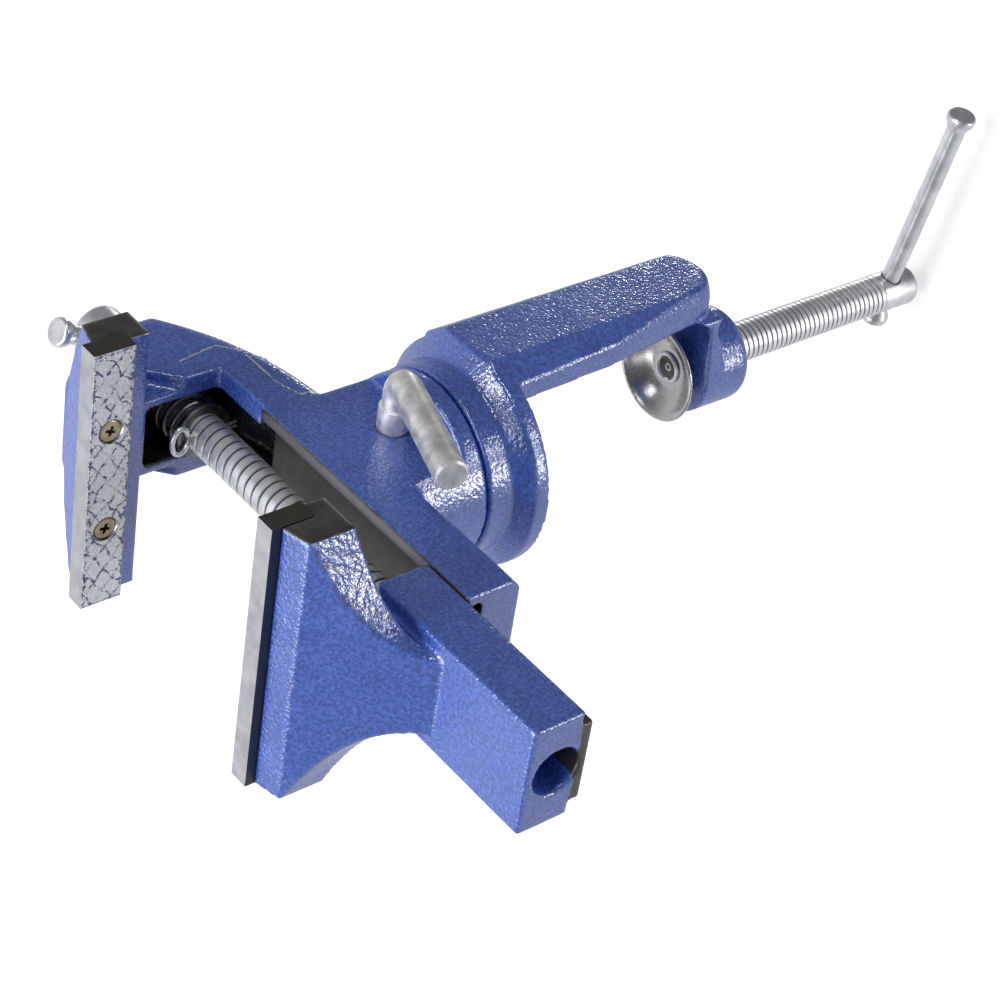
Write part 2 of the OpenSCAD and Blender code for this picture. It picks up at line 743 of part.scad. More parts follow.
module clamp_arm() {
    dome_z = arm_end_z + arm_dome_r;
    dome_flare = 9.5;
    intersection() {
        translate([0, 0, arm_end_z]) linear_extrude(arm_top_z - arm_end_z) arm_section();
        along_x(4 * disc_r) polygon([
            [-arm_top_w / 2, arm_top_z], [arm_top_w / 2, arm_top_z],
            [arm_foot_w / 2, arm_end_z], [-arm_foot_w / 2, arm_end_z]]);
        translate([-arm_reach + arm_dome_inset, arm_dome_shift, dome_z]) union() {
            rotate([0, 90, 0]) sphere(arm_dome_r);
            cylinder(r1 = arm_dome_r, r2 = arm_dome_r + dome_flare, h = arm_top_z - dome_z);
        }
    }
}

// Foot of the clamp: a web from the arm and a round boss for the screw
module clamp_foot() {
    web_x = -arm_reach + arm_t - over;
    web_inset = 0.6;
    translate([0, 0, foot_top_z - foot_web_h]) linear_extrude(foot_web_h) polygon([
        [web_x, -arm_foot_w / 2 + web_inset], [0, -foot_boss_r],
        [0, foot_boss_r], [web_x, arm_foot_w / 2 - web_inset]]);
    translate([0, 0, foot_top_z - foot_boss_h]) rotate_extrude() {
        translate([0, foot_boss_round]) square([foot_boss_r, foot_boss_h - foot_boss_round]);
        square([foot_boss_r - foot_boss_round, foot_boss_h]);
        translate([foot_boss_r - foot_boss_round, foot_boss_round]) circle(foot_boss_round);
    }
    along_y(-arm_foot_w / 2 + web_inset, arm_foot_w / 2 - web_inset) difference() {
        translate([web_x, foot_top_z - over]) square(foot_fillet_r + over);
        translate([web_x + over + foot_fillet_r, foot_top_z + foot_fillet_r]) circle(foot_fillet_r);
    }
}

// Scoop across the underside of the foot, beside its boss
module foot_scoop() {
    difference() {
        translate([-foot_boss_r - foot_scoop_r / 2, 2 * disc_r, foot_top_z - foot_web_h - foot_scoop_r * 0.6])
            rotate([90, 0, 0]) cylinder(r = foot_scoop_r, h = 4 * disc_r);
        translate([0, 0, foot_top_z - 2 * foot_boss_h]) cylinder(r = foot_boss_r, h = 3 * foot_boss_h);
    }
}

module clamp_frame() {
    groove_h = lever_thread_d + over;
    color(enamel) difference() {
        union() {
            rotate_extrude($fn = 128) polygon([
                [0, 0], [disc_r, 0], [disc_r, disc_rim_h], [pedestal_r + slip, disc_h], [0, disc_h]]);
            translate([0, 0, disc_h - over]) difference() {
                cylinder(d = spigot_d, h = spigot_h + over);
                translate([0, 0, lever_z - disc_h + over - groove_h / 2]) difference() {
                    cylinder(d = spigot_d + 2 * over, h = groove_h);
                    cylinder(d = spigot_d - 2 * spigot_groove, h = groove_h);
                }
            }
            at_clamp() rotate([0, 0, arm_turn]) difference() {
                union() {
                    clamp_arm();
                    clamp_foot();
                }
                foot_scoop();
            }
        }
        at_clamp() translate([0, 0, foot_top_z - foot_boss_h - over])
            cylinder(d = clamp_d + 2 * run, h = foot_boss_h + 2 * over);
    }
}

module clamp_screw() {
    shoulder_z = pad_bottom_z - slip;
    floor_z = pad_rim_z - pad_dish;
    chamfer = 1;
    rivet_lip = 0.9;
    rivet_h = 0.8;
    color(zinc) difference() {
        at_clamp() {
            translate([0, 0, clamp_end_z]) cylinder(d1 = clamp_d - chamfer, d2 = clamp_d, h = chamfer);
            translate([0, 0, clamp_end_z + chamfer])
                cylinder(d = clamp_d, h = shoulder_z - clamp_end_z - chamfer);
            translate([0, 0, shoulder_z]) cylinder(d = rivet_d, h = floor_z - shoulder_z + face_gap);
            translate([0, 0, floor_z + face_gap]) rotate_extrude() polygon([
                [0, 0], [rivet_d / 2 + rivet_lip, 0], [rivet_d / 2 + rivet_lip, rivet_h / 2],
                [rivet_d / 2, rivet_h], [rivet_d / 4, rivet_h], [0, -rivet_h / 2]]);
        }
        at_clamp_hole() cylinder(d = bar_d + 2 * run, h = 2 * clamp_d, center = true);
    }
}

// Dished pad that turns on the screw's riveted neck
module clamp_pad() {
    r = pad_d / 2;
    lip = 0.9;
    wall = 1.2;
    hub_r = (clamp_d + wall) / 2;
    bore_r = rivet_d / 2 + run;
    color(zinc) at_clamp() translate([0, 0, pad_rim_z]) rotate_extrude() polygon([
        [bore_r, -pad_dish], [bore_r + wall, -pad_dish], [r - lip, 0], [r, 0], [r, -lip],
        [hub_r, -pad_dish - wall], [hub_r, -pad_h], [bore_r, -pad_h]]);
}

clamp_frame();
clamp_screw();
clamp_pad();
clamp_tbar();
clamp_tbar_cap();
vise_body();
fixed_jaw_plate();
fixed_plate_screws();
lead_screw();
thrust_washer();
lead_spring();
retaining_washer();
cotter_pin();
lead_tbar();
lead_tbar_cap();
swivel_lock_lever();
moving_jaw();
moving_jaw_plate();
moving_plate_screws();
lead_nut();
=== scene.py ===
# %% [markdown]
# # A clamp-on table vise
# The frame brings in the vise's solids at their real size, in metres, each riding on the body that
# it moves with. This lesson dresses them: soft cast edges, threads, a hatched grip, a turned
# finish, and the paint and plating.

# %% The frame
import json
import math
import bmesh
import bpy
import numpy as np
from mathutils import Matrix, Vector, noise


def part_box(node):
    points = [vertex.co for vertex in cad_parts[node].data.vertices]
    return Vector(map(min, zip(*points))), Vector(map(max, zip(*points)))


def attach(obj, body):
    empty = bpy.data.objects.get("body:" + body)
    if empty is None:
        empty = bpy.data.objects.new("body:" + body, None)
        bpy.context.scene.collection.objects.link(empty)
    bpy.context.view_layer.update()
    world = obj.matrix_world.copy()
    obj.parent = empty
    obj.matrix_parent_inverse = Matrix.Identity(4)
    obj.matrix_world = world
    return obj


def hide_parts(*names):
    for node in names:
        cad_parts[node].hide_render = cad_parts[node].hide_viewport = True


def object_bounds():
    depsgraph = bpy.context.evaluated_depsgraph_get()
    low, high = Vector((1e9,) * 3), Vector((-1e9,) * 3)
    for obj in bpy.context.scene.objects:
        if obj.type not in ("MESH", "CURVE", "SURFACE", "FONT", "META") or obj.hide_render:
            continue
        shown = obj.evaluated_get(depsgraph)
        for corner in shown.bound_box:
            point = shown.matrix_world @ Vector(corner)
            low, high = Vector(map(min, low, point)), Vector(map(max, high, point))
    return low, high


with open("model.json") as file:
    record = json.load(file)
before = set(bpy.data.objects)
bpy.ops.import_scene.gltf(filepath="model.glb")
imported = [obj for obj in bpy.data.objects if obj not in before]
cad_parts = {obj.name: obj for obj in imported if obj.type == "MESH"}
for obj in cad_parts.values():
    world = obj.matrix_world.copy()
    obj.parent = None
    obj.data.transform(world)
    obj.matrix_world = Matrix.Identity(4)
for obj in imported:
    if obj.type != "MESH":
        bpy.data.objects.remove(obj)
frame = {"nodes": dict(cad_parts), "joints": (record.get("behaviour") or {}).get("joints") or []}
cad_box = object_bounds()
mm = 0.001
scene = bpy.context.scene

# %% [markdown]
# ## The camera
# The picture was taken from above the lever's side, with a long lens, and then turned so that the
# swivel axis runs down to the left. A place, a point to look at and a roll say that more plainly
# than a matrix would.

# %% Camera
camera_place = Vector((-409.5, 413.1, 384.3)) * mm
camera_aim = Vector((9.8, 11.5, -1.3)) * mm
camera_roll = math.radians(-110.4)
camera_lens = 99.9

lens = bpy.data.cameras.new("camera")
lens.sensor_width = 36
lens.lens = camera_lens
lens.clip_start = 10 * mm
camera = bpy.data.objects.new("camera", lens)
scene.collection.objects.link(camera)
look = (camera_aim - camera_place).to_track_quat("-Z", "Y")
camera.rotation_mode = "QUATERNION"
camera.rotation_quaternion = look @ Matrix.Rotation(camera_roll, 4, "Z").to_quaternion()
camera.location = camera_place
scene.camera = camera
print("camera distance, mm:", round((camera_aim - camera_place).length / mm))

# %% [markdown]
# ## Floor and light
# The vise hangs in a bright studio: the floor is only there for the camera, so light comes from
# below as well. Two lamps low behind the moving jaw give the flank, the flange and the disc's rim
# their highlights, which break up on the grain of the castings. A small lamp low at the front and
# one on the lever's side add sparks. A lamp above lights the disc's low cone, and a wide one over
# everything is the fill. The world is dim, with a soft glow on the far side and another from below,
# so that the sides towards the camera stay deep blue.

# %% Helpers for node trees
def add(tree, kind, values=None, **settings):
    """A new node: settings are its properties, and values are numbers or sockets for its inputs."""
    made = tree.nodes.new(kind)
    for key, value in settings.items():
        setattr(made, key, value)
    for key, value in (values or {}).items():
        if isinstance(value, bpy.types.NodeSocket):
            tree.links.new(value, made.inputs[key])
        else:
            made.inputs[key].default_value = value
    return made


def math_node(tree, operation, a, b=0.0):
    """The result of one sum on two numbers or sockets."""
    return add(tree, "ShaderNodeMath", {0: a, 1: b}, operation=operation).outputs[0]


def ramp(tree, value, low, high, start=0.0, end=1.0):
    """value between low and high, spread evenly from start to end."""
    made = add(tree, "ShaderNodeMapRange", {"Value": value})
    made.inputs["From Min"].default_value = low
    made.inputs["From Max"].default_value = high
    made.inputs["To Min"].default_value = start
    made.inputs["To Max"].default_value = end
    return made.outputs["Result"]


def mix_colour(tree, share, first, second):
    """first where share is 0, second where it is 1."""
    return add(tree, "ShaderNodeMix", {0: share, 6: first, 7: second}, data_type="RGBA").outputs[2]


# %% Floor, world and lights
floor_drop = 4 * mm
floor_z = cad_box[0].z - floor_drop
floor_half = 6.0
floor_mesh = bpy.data.meshes.new("floor")
corners = [(-1, -1), (1, -1), (1, 1), (-1, 1)]
floor_mesh.from_pydata([(x * floor_half, y * floor_half, floor_z) for x, y in corners], [], [(0, 1, 2, 3)])
floor = bpy.data.objects.new("floor", floor_mesh)
scene.collection.objects.link(floor)

floor_paint = bpy.data.materials.new("white_floor")
floor_paint.use_nodes = True
floor_shader = floor_paint.node_tree.nodes["Principled BSDF"]
floor_shader.inputs["Base Color"].default_value = (0.72, 0.72, 0.72, 1)
seen = add(floor_paint.node_tree, "ShaderNodeLightPath").outputs["Is Camera Ray"]
floor_glow = mix_colour(floor_paint.node_tree, seen, (0.0, 0.0, 0.0, 1), (0.5, 0.5, 0.5, 1))
floor_paint.node_tree.links.new(floor_glow, floor_shader.inputs["Emission Color"])
floor_shader.inputs["Emission Strength"].default_value = 1.0
floor_shader.inputs["Roughness"].default_value = 0.9
floor_shader.inputs["Specular IOR Level"].default_value = 0.1
floor_mesh.materials.append(floor_paint)
floor.visible_diffuse = False
floor.visible_glossy = False
floor.visible_shadow = False

world = bpy.data.worlds.new("studio")
scene.world = world
world.use_nodes = True
sky = world.node_tree
sky_way = add(sky, "ShaderNodeTexCoord").outputs["Generated"]


def glow(way, edge, bright):
    """Light from round the direction way: bright in its middle, none where the cosine to it is below edge."""
    middle_way = Vector(way).normalized()
    near = add(sky, "ShaderNodeVectorMath", {0: sky_way, 1: middle_way}, operation="DOT_PRODUCT")
    return ramp(sky, near.outputs["Value"], edge, 1.0, 0.0, bright)


dim = 0.17
far_side = glow((0.5, -0.82, 0.2), 0.2, 0.65)
low_side = glow((0.62, 0.5, -0.6), 0.2, 0.55)
sky_light = math_node(sky, "ADD", math_node(sky, "ADD", far_side, low_side), dim)
sky.links.new(sky_light, sky.nodes["Background"].inputs["Strength"])
sky.nodes["Background"].inputs["Color"].default_value = (0.98, 0.98, 1.0, 1)


def soft_light(name, way, distance, size, power):
    """A square lamp in the direction way from the vise, looking at it."""
    lamp = bpy.data.lights.new(name, "AREA")
    lamp.size = size
    lamp.energy = power
    made = bpy.data.objects.new(name, lamp)
    made.location = Vector(way).normalized() * distance
    made.rotation_mode = "QUATERNION"
    made.rotation_quaternion = (-made.location).to_track_quat("-Z", "Y")
    scene.collection.objects.link(made)


soft_light("bounce", (-0.09, 0.82, -0.55), 1.2, 0.26, 2.8)
soft_light("bounce_left", (-0.46, 0.69, -0.56), 1.2, 0.2, 1.3)
soft_light("low_spark", (-0.2, -0.68, -0.7), 1.3, 0.05, 0.9)
soft_light("spark", (-0.96, 0.12, 0.26), 1.3, 0.25, 2.6)
soft_light("upper", (-0.38, -0.18, 0.9), 1.5, 0.42, 7)
soft_light("top", (0.15, 0.1, 0.98), 1.7, 1.4, 22)
scene.view_settings.view_transform = "Standard"
print("floor at mm:", round(floor_z / mm, 1))

# %% [markdown]
# ## Shared effects
# Three effects come up in more than one finish, so each is a node group with named sockets. Grain
# is the bumpy, pitted skin of sand-cast iron under paint; its pits are darkened, partly for paint
# pooled there and partly as painted shade. Wear is where paint has gone from a raised edge. Streaks
# are the fine uneven gloss of plated or ground steel.

# %% Node groups
def group(name, inputs, outputs):
    """An empty node group; inputs and outputs map a socket's name to its kind and default."""
    tree = bpy.data.node_groups.new(name, "ShaderNodeTree")
    for side, sockets in (("INPUT", inputs), ("OUTPUT", outputs)):
        for label, (kind, value) in sockets.items():
            socket = tree.interface.new_socket(label, in_out=side, socket_type="NodeSocket" + kind)
            if value is not None:
                socket.default_value = value
    return tree, add(tree, "NodeGroupInput"), add(tree, "NodeGroupOutput")


def place(tree):
    """Where a point lies on the piece, in the part's own metres."""
    return add(tree, "ShaderNodeTexCoord").outputs["Object"]


grain, given, result = group(
    "cast_grain",
    {"Pebble": ("Float", 900.0), "Swell": ("Float", 160.0)},
    {"Height": ("Float", None), "Fleck": ("Float", None), "Pit_pool_and_shade": ("Float", None), "Cloud": ("Float", None)})
pebbles = add(grain, "ShaderNodeTexNoise", {
    "Vector": place(grain), "Scale": given.outputs["Pebble"], "Detail": 1.5, "Roughness": 0.5,
    "Distortion": 0.3})
fine_scale = math_node(grain, "MULTIPLY", given.outputs["Pebble"], 1.2)
cells = add(grain, "ShaderNodeTexVoronoi", {"Vector": place(grain), "Scale": fine_scale, "Smoothness": 1.0},
            feature="SMOOTH_F1")
swell = add(grain, "ShaderNodeTexNoise", {
    "Vector": place(grain), "Scale": given.outputs["Swell"], "Detail": 2.0})
skin = math_node(grain, "MULTIPLY_ADD", cells.outputs["Distance"], -0.55)
grain.links.new(pebbles.outputs["Fac"], skin.node.inputs[2])
grain.links.new(skin, result.inputs["Height"])
grain.links.new(ramp(grain, pebbles.outputs["Fac"], 0.55, 0.72), result.inputs["Fleck"])
grain.links.new(ramp(grain, skin, 0.30, 0.12), result.inputs["Pit_pool_and_shade"])
grain.links.new(ramp(grain, swell.outputs["Fac"], 0.3, 0.7), result.inputs["Cloud"])

wear, given, result = group(
    "edge_wear",
    {"Edge": ("Float", 0.0), "Reach": ("Float", 0.5)},
    {"Mask": ("Float", None), "Ragged": ("Float", None)})
chips = add(wear, "ShaderNodeTexNoise", {
    "Vector": place(wear), "Scale": 420.0, "Detail": 5.0, "Roughness": 0.7})
ragged = math_node(wear, "SUBTRACT", chips.outputs["Fac"], 0.5)
wear.links.new(ragged, result.inputs["Ragged"])
chip_edge = math_node(wear, "ADD", given.outputs["Edge"], ragged)
over_reach = math_node(wear, "SUBTRACT", chip_edge, given.outputs["Reach"])
wear.links.new(ramp(wear, over_reach, 0.0, 0.06), result.inputs["Mask"])

streaks, given, result = group(
    "metal_streaks",
    {"Along": ("Vector", (300.0, 300.0, 300.0)), "Gloss": ("Float", 0.25), "Spread": ("Float", 0.15)},
    {"Roughness": ("Float", None), "Shade": ("Float", None), "Height": ("Float", None)})
drawn = add(
    streaks, "ShaderNodeVectorMath", {0: place(streaks), 1: given.outputs["Along"]}, operation="MULTIPLY")
lines = add(streaks, "ShaderNodeTexNoise", {"Vector": drawn.outputs["Vector"], "Scale": 1.0, "Detail": 4.0})
blots = add(streaks, "ShaderNodeTexNoise", {"Vector": place(streaks), "Scale": 240.0, "Detail": 3.0})
streak = math_node(streaks, "MULTIPLY", lines.outputs["Fac"], blots.outputs["Fac"])
streak_gloss = math_node(streaks, "MULTIPLY_ADD", streak, given.outputs["Spread"])
streaks.links.new(given.outputs["Gloss"], streak_gloss.node.inputs[2])
streaks.links.new(streak_gloss, result.inputs["Roughness"])
streaks.links.new(ramp(streaks, blots.outputs["Fac"], 0.35, 0.7), result.inputs["Shade"])
streaks.links.new(lines.outputs["Fac"], result.inputs["Height"])
print("groups:", [tree.name for tree in bpy.data.node_groups])

# %% [markdown]
# ## The finishes
# The castings are blue enamel over grainy iron, bare and olive where a cutter has been, and painted
# nearly black deep in the neck, which is painted shade. Four numbers on each point of the mesh say
# which is which: bare, hollow, which marks where that painted shade goes, edge, which is how
# sharply the surface turns there, and coarse, which marks a face cast against rougher sand.


# %% Enamel and bare iron
def finish(name):
    """A new material with its tree and its main shader."""
    made = bpy.data.materials.new(name)
    made.use_nodes = True
    return made, made.node_tree, made.node_tree.nodes["Principled BSDF"]


def use(tree, effect, values):
    """A shared effect, placed in a material with its own values."""
    return add(tree, "ShaderNodeGroup", values, node_tree=effect).outputs


def bump(tree, shader, height, strength, depth):
    """Tilts the shader's normal by a height, depth metres deep."""
    made = add(tree, "ShaderNodeBump", {"Height": height, "Strength": strength, "Distance": depth})
    tree.links.new(made.outputs["Normal"], shader.inputs["Normal"])


enamel, tree, shader = finish("blue_enamel")
bare_number = add(tree, "ShaderNodeAttribute", attribute_name="bare").outputs["Fac"]
edge_number = add(tree, "ShaderNodeAttribute", attribute_name="edge").outputs["Fac"]
hollow_number = add(tree, "ShaderNodeAttribute", attribute_name="hollow").outputs["Fac"]
skin_out = use(tree, grain, {"Pebble": 1100.0, "Swell": 90.0})
sand_out = use(tree, grain, {"Pebble": 640.0, "Swell": 90.0})
wear_out = use(tree, wear, {"Edge": edge_number, "Reach": 0.84})
worn = wear_out["Mask"]


def torn(number):
    """1 where a number of the mesh is over a half, with a ragged border."""
    rag = math_node(tree, "MULTIPLY", wear_out["Ragged"], 0.9)
    return ramp(tree, math_node(tree, "ADD", number, rag), 0.45, 0.55)


bare = torn(bare_number)
hollow = torn(hollow_number)
blue = mix_colour(tree, skin_out["Cloud"], (0.051, 0.114, 0.470, 1), (0.062, 0.137, 0.550, 1))
blue = mix_colour(tree, skin_out["Fleck"], blue, (0.085, 0.180, 0.670, 1))
# Painted shade in part: the grain's pits are darker, for paint pooled in them and for the shade in them.
blue = mix_colour(tree, skin_out["Pit_pool_and_shade"], blue, (0.036, 0.084, 0.370, 1))
coarse_number = add(tree, "ShaderNodeAttribute", attribute_name="coarse").outputs["Fac"]
# On faces of rougher sand the pits darken the same way, partly pooled paint and partly painted shade.
sand_pit_pool_and_shade = math_node(tree, "MULTIPLY", sand_out["Pit_pool_and_shade"], coarse_number)
blue = mix_colour(tree, sand_pit_pool_and_shade, blue, (0.024, 0.056, 0.260, 1))
mill_out = use(tree, streaks, {"Along": (90.0, 1500.0, 1500.0), "Gloss": 0.34, "Spread": 0.3})
iron = mix_colour(tree, mill_out["Shade"], (0.084, 0.078, 0.068, 1), (0.122, 0.114, 0.101, 1))
iron = mix_colour(tree, ramp(tree, bare_number, 1.1, 1.7), iron, (0.200, 0.205, 0.220, 1))
chipped = mix_colour(tree, worn, blue, (0.72, 0.73, 0.78, 1))
cut_or_not = mix_colour(tree, bare, chipped, iron)
# Painted shade: deep in the neck the colour goes nearly black, for the shade that falls inside it.
tree.links.new(mix_colour(tree, hollow, cut_or_not, (0.008, 0.008, 0.010, 1)), shader.inputs["Base Color"])
metal_share = math_node(tree, "MAXIMUM", bare, worn)
tree.links.new(math_node(tree, "MULTIPLY", metal_share, 0.8), shader.inputs["Metallic"])
shader.inputs["IOR"].default_value = 2.2
gloss = ramp(tree, skin_out["Cloud"], 0.0, 1.0, 0.18, 0.26)
iron_gloss = math_node(tree, "SUBTRACT", mill_out["Roughness"], gloss)
tree.links.new(math_node(tree, "MULTIPLY_ADD", metal_share, iron_gloss), shader.inputs["Roughness"])
tree.links.new(gloss, shader.inputs["Roughness"].links[0].from_node.inputs[2])
sand = math_node(tree, "MULTIPLY", sand_out["Height"], math_node(tree, "MULTIPLY", coarse_number, 1.3))
bumps = math_node(tree, "MULTIPLY", skin_out["Height"], ramp(tree, bare, 0.0, 1.0, 1.0, 0.12))
bumps = math_node(tree, "ADD", bumps, sand)
bump(tree, shader, bumps, 1.0, 0.14 * mm)
print("made", enamel.name)


# %% [markdown]
# ## Plated, ground and pressed steel
# All the bright pieces start from the same recipe: a light metal whose gloss wanders along the
# direction it was drawn or turned in. Each finish differs in tint, gloss and the direction of its
# streaks. The roots of a thread are darkened as painted shade, for the shade that falls in them.

# %% Bright metals
def bright_metal(name, dark, light, along, gloss, spread, dents, metal=1.0):
    """A metal with streaked gloss; along is how fast the streaks change in x, y and z, per metre."""
    made, tree, shader = finish(name)
    out = use(tree, streaks, {"Along": along, "Gloss": gloss, "Spread": spread})
    tree.links.new(mix_colour(tree, out["Shade"], dark, light), shader.inputs["Base Color"])
    tree.links.new(out["Roughness"], shader.inputs["Roughness"])
    shader.inputs["Metallic"].default_value = metal
    bump(tree, shader, out["Height"], 0.25, dents)
    return made


even = (700, 700, 700)
fine = (900, 900, 900)
zinc = bright_metal(
    "zinc_plate", (0.70, 0.71, 0.74, 1), (0.92, 0.93, 0.96, 1), even, 0.26, 0.30, 0.05 * mm, 0.9)


def thread_metal(name, spot, across, radius, depth):
    """Zinc with its colour darkened in the roots of a thread round the point spot, as painted shade. across
    is 1 in the two axes that lie across the thread; radius and depth are in mm."""
    made = bright_metal(
        name, (0.78, 0.79, 0.81, 1), (0.95, 0.96, 0.98, 1), even, 0.34, 0.2, 0.03 * mm, 0.78)
    tree = made.node_tree
    shader = tree.nodes["Principled BSDF"]
    from_spot = add(tree, "ShaderNodeVectorMath", {0: place(tree), 1: spot}, operation="SUBTRACT")
    sideways = add(
        tree, "ShaderNodeVectorMath", {0: from_spot.outputs["Vector"], 1: across}, operation="MULTIPLY")
    length = add(tree, "ShaderNodeVectorMath", {0: sideways.outputs["Vector"]}, operation="LENGTH")
    away = length.outputs["Value"]
    # Painted shade: the colour is darkened in the roots of the thread, where shade falls.
    low = ramp(tree, away, (radius - 0.15 * depth) * mm, (radius - 0.8 * depth) * mm)
    outer = ramp(tree, away, (radius - 2.5 * depth) * mm, (radius - 1.5 * depth) * mm)
    root_shade = math_node(tree, "MULTIPLY", low, outer)
    plate = shader.inputs["Base Color"].links[0].from_socket
    tree.links.new(mix_colour(tree, root_shade, plate, (0.05, 0.05, 0.055, 1)), shader.inputs["Base Color"])
    return made


satin = bright_metal(
    "satin_zinc", (0.60, 0.60, 0.60, 1), (1.0, 1.0, 1.0, 1), (500, 200, 500), 0.34, 0.4, 0.3 * mm, 0.8)
pressed = bright_metal(
    "pressed_steel", (0.50, 0.49, 0.495, 1), (0.60, 0.59, 0.595, 1), (260, 260, 260), 0.25, 0.08, 0.006 * mm)
yellow = bright_metal(
    "yellow_passivated", (0.30, 0.235, 0.16, 1), (0.52, 0.43, 0.31, 1), fine, 0.22, 0.3, 0.04 * mm)
wire = bright_metal("coil_wire", (0.16, 0.16, 0.15, 1), (0.34, 0.34, 0.33, 1), fine, 0.25, 0.3, 0.03 * mm)
nut_iron = bright_metal(
    "block_iron", (0.07, 0.066, 0.058, 1), (0.16, 0.15, 0.14, 1), fine, 0.4, 0.3, 0.05 * mm)

jaw_steel, tree, shader = finish("hatched_steel")
skin_out = use(tree, grain, {"Pebble": 1500.0, "Swell": 260.0})
rub_out = use(tree, streaks, {"Along": (120.0, 1800.0, 1800.0), "Gloss": 0.26, "Spread": 0.3})
grip_level = add(tree, "ShaderNodeAttribute", attribute_name="grip").outputs["Fac"]
grip_number = ramp(tree, grip_level, 0.0, 1.0)
facing = add(tree, "ShaderNodeSeparateXYZ", {0: add(tree, "ShaderNodeTexCoord").outputs["Normal"]})
end_face = ramp(tree, math_node(tree, "ABSOLUTE", facing.outputs["X"]), 0.6, 0.8)
across_face = ramp(tree, math_node(tree, "ABSOLUTE", facing.outputs["Y"]), 0.6, 0.8)
back_face = math_node(tree, "MULTIPLY", across_face, math_node(tree, "SUBTRACT", 1.0, grip_number))
specks = add(tree, "ShaderNodeTexNoise", {
    "Vector": place(tree), "Scale": 900.0, "Detail": 4.0, "Roughness": 0.65})
groove_level = math_node(tree, "MULTIPLY_ADD", ramp(tree, grip_level, 1.0, 2.0), 0.22)
tree.links.new(specks.outputs["Fac"], groove_level.node.inputs[2])
speck_share = math_node(tree, "MULTIPLY", ramp(tree, groove_level, 0.63, 0.69), grip_number)
steel = mix_colour(tree, skin_out["Fleck"], (0.76, 0.77, 0.83, 1), (0.98, 0.98, 1.0, 1))
ground = mix_colour(tree, rub_out["Shade"], (0.50, 0.50, 0.54, 1), (0.66, 0.66, 0.70, 1))
steel = mix_colour(tree, grip_number, ground, steel)
steel = mix_colour(tree, speck_share, steel, (0.11, 0.12, 0.25, 1))
steel = mix_colour(tree, end_face, steel, (0.105, 0.098, 0.085, 1))
tree.links.new(mix_colour(tree, back_face, steel, (0.012, 0.016, 0.05, 1)), shader.inputs["Base Color"])
dull = math_node(tree, "MAXIMUM", speck_share, back_face)
plain_metal = ramp(tree, grip_number, 0.0, 1.0, 0.9, 0.45)
tree.links.new(math_node(tree, "MULTIPLY", plain_metal, math_node(tree, "SUBTRACT", 1.0, dull)),
               shader.inputs["Metallic"])
tree.links.new(math_node(tree, "MULTIPLY_ADD", grip_number, 0.06), shader.inputs["Roughness"])
tree.links.new(rub_out["Roughness"], shader.inputs["Roughness"].links[0].from_node.inputs[2])
grip_skin = math_node(tree, "MULTIPLY", skin_out["Height"], grip_number)
bump(tree, shader, grip_skin, 0.8, 0.4 * mm)
print("made", [m.name for m in bpy.data.materials])

# %% [markdown]
# ## Castings
# A casting has no sharp edges: sand can't hold them. The solid's mesh is copied, remeshed into
# small even squares and then relaxed, which rounds outer edges and fills inner corners at once.
# Faces that were machined afterwards hold their place while the rest relaxes, so they stay flat and
# keep a crisp rim. The clamp's disc is reshaped first: its side becomes a low cone with a straight
# shoulder above it.


# %% Soft cast skins
def linked(name, mesh, body, slot, *nodes):
    """Puts a mesh in the scene as a piece that stands for CAD nodes and rides on a body."""
    piece = bpy.data.objects.new(name, mesh)
    scene.collection.objects.link(piece)
    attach(piece, body)
    if nodes:
        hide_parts(*nodes)
    return piece


def remeshed(node, voxel):
    """The node's mesh, made again from even squares."""
    rough = bpy.data.objects.new("rough", frame["nodes"][node].data.copy())
    scene.collection.objects.link(rough)
    skin = rough.modifiers.new("skin", "REMESH")
    skin.mode = "VOXEL"
    skin.voxel_size = voxel
    made = bpy.data.meshes.new_from_object(rough.evaluated_get(bpy.context.evaluated_depsgraph_get()))
    bpy.data.objects.remove(rough)
    return made


def neighbour_mean(points, edges):
    """For each point, the mean of the points that share an edge with it."""
    ends = np.concatenate([edges, edges[:, ::-1]])
    count = np.bincount(ends[:, 0], minlength=len(points))
    sums = [np.bincount(ends[:, 0], points[ends[:, 1], axis], len(points)) for axis in range(3)]
    return np.stack(sums, 1) / np.maximum(count, 1)[:, None]


def vertex_numbers(mesh, name, values):
    """Stores one number per vertex, for a material to read."""
    mesh.attributes.new(name, "FLOAT", "POINT").data.foreach_set("value", np.asarray(values, np.float32))


def spread(values, edges, rounds=3):
    """Numbers on points, blurred along the edges."""
    values = np.asarray(values, float)[:, None] * np.ones(3)
    for turn in range(rounds):
        values = neighbour_mean(values, edges)
    return values[:, 0]


voxel = 0.65 * mm
rounds = 2
ease_share = 0.5
held_share = 0.85
wave = 0.06 * mm
wave_l = 7 * mm
sharp_turn = 0.30
coarse_cosine = 0.85
coarse_gain = 8


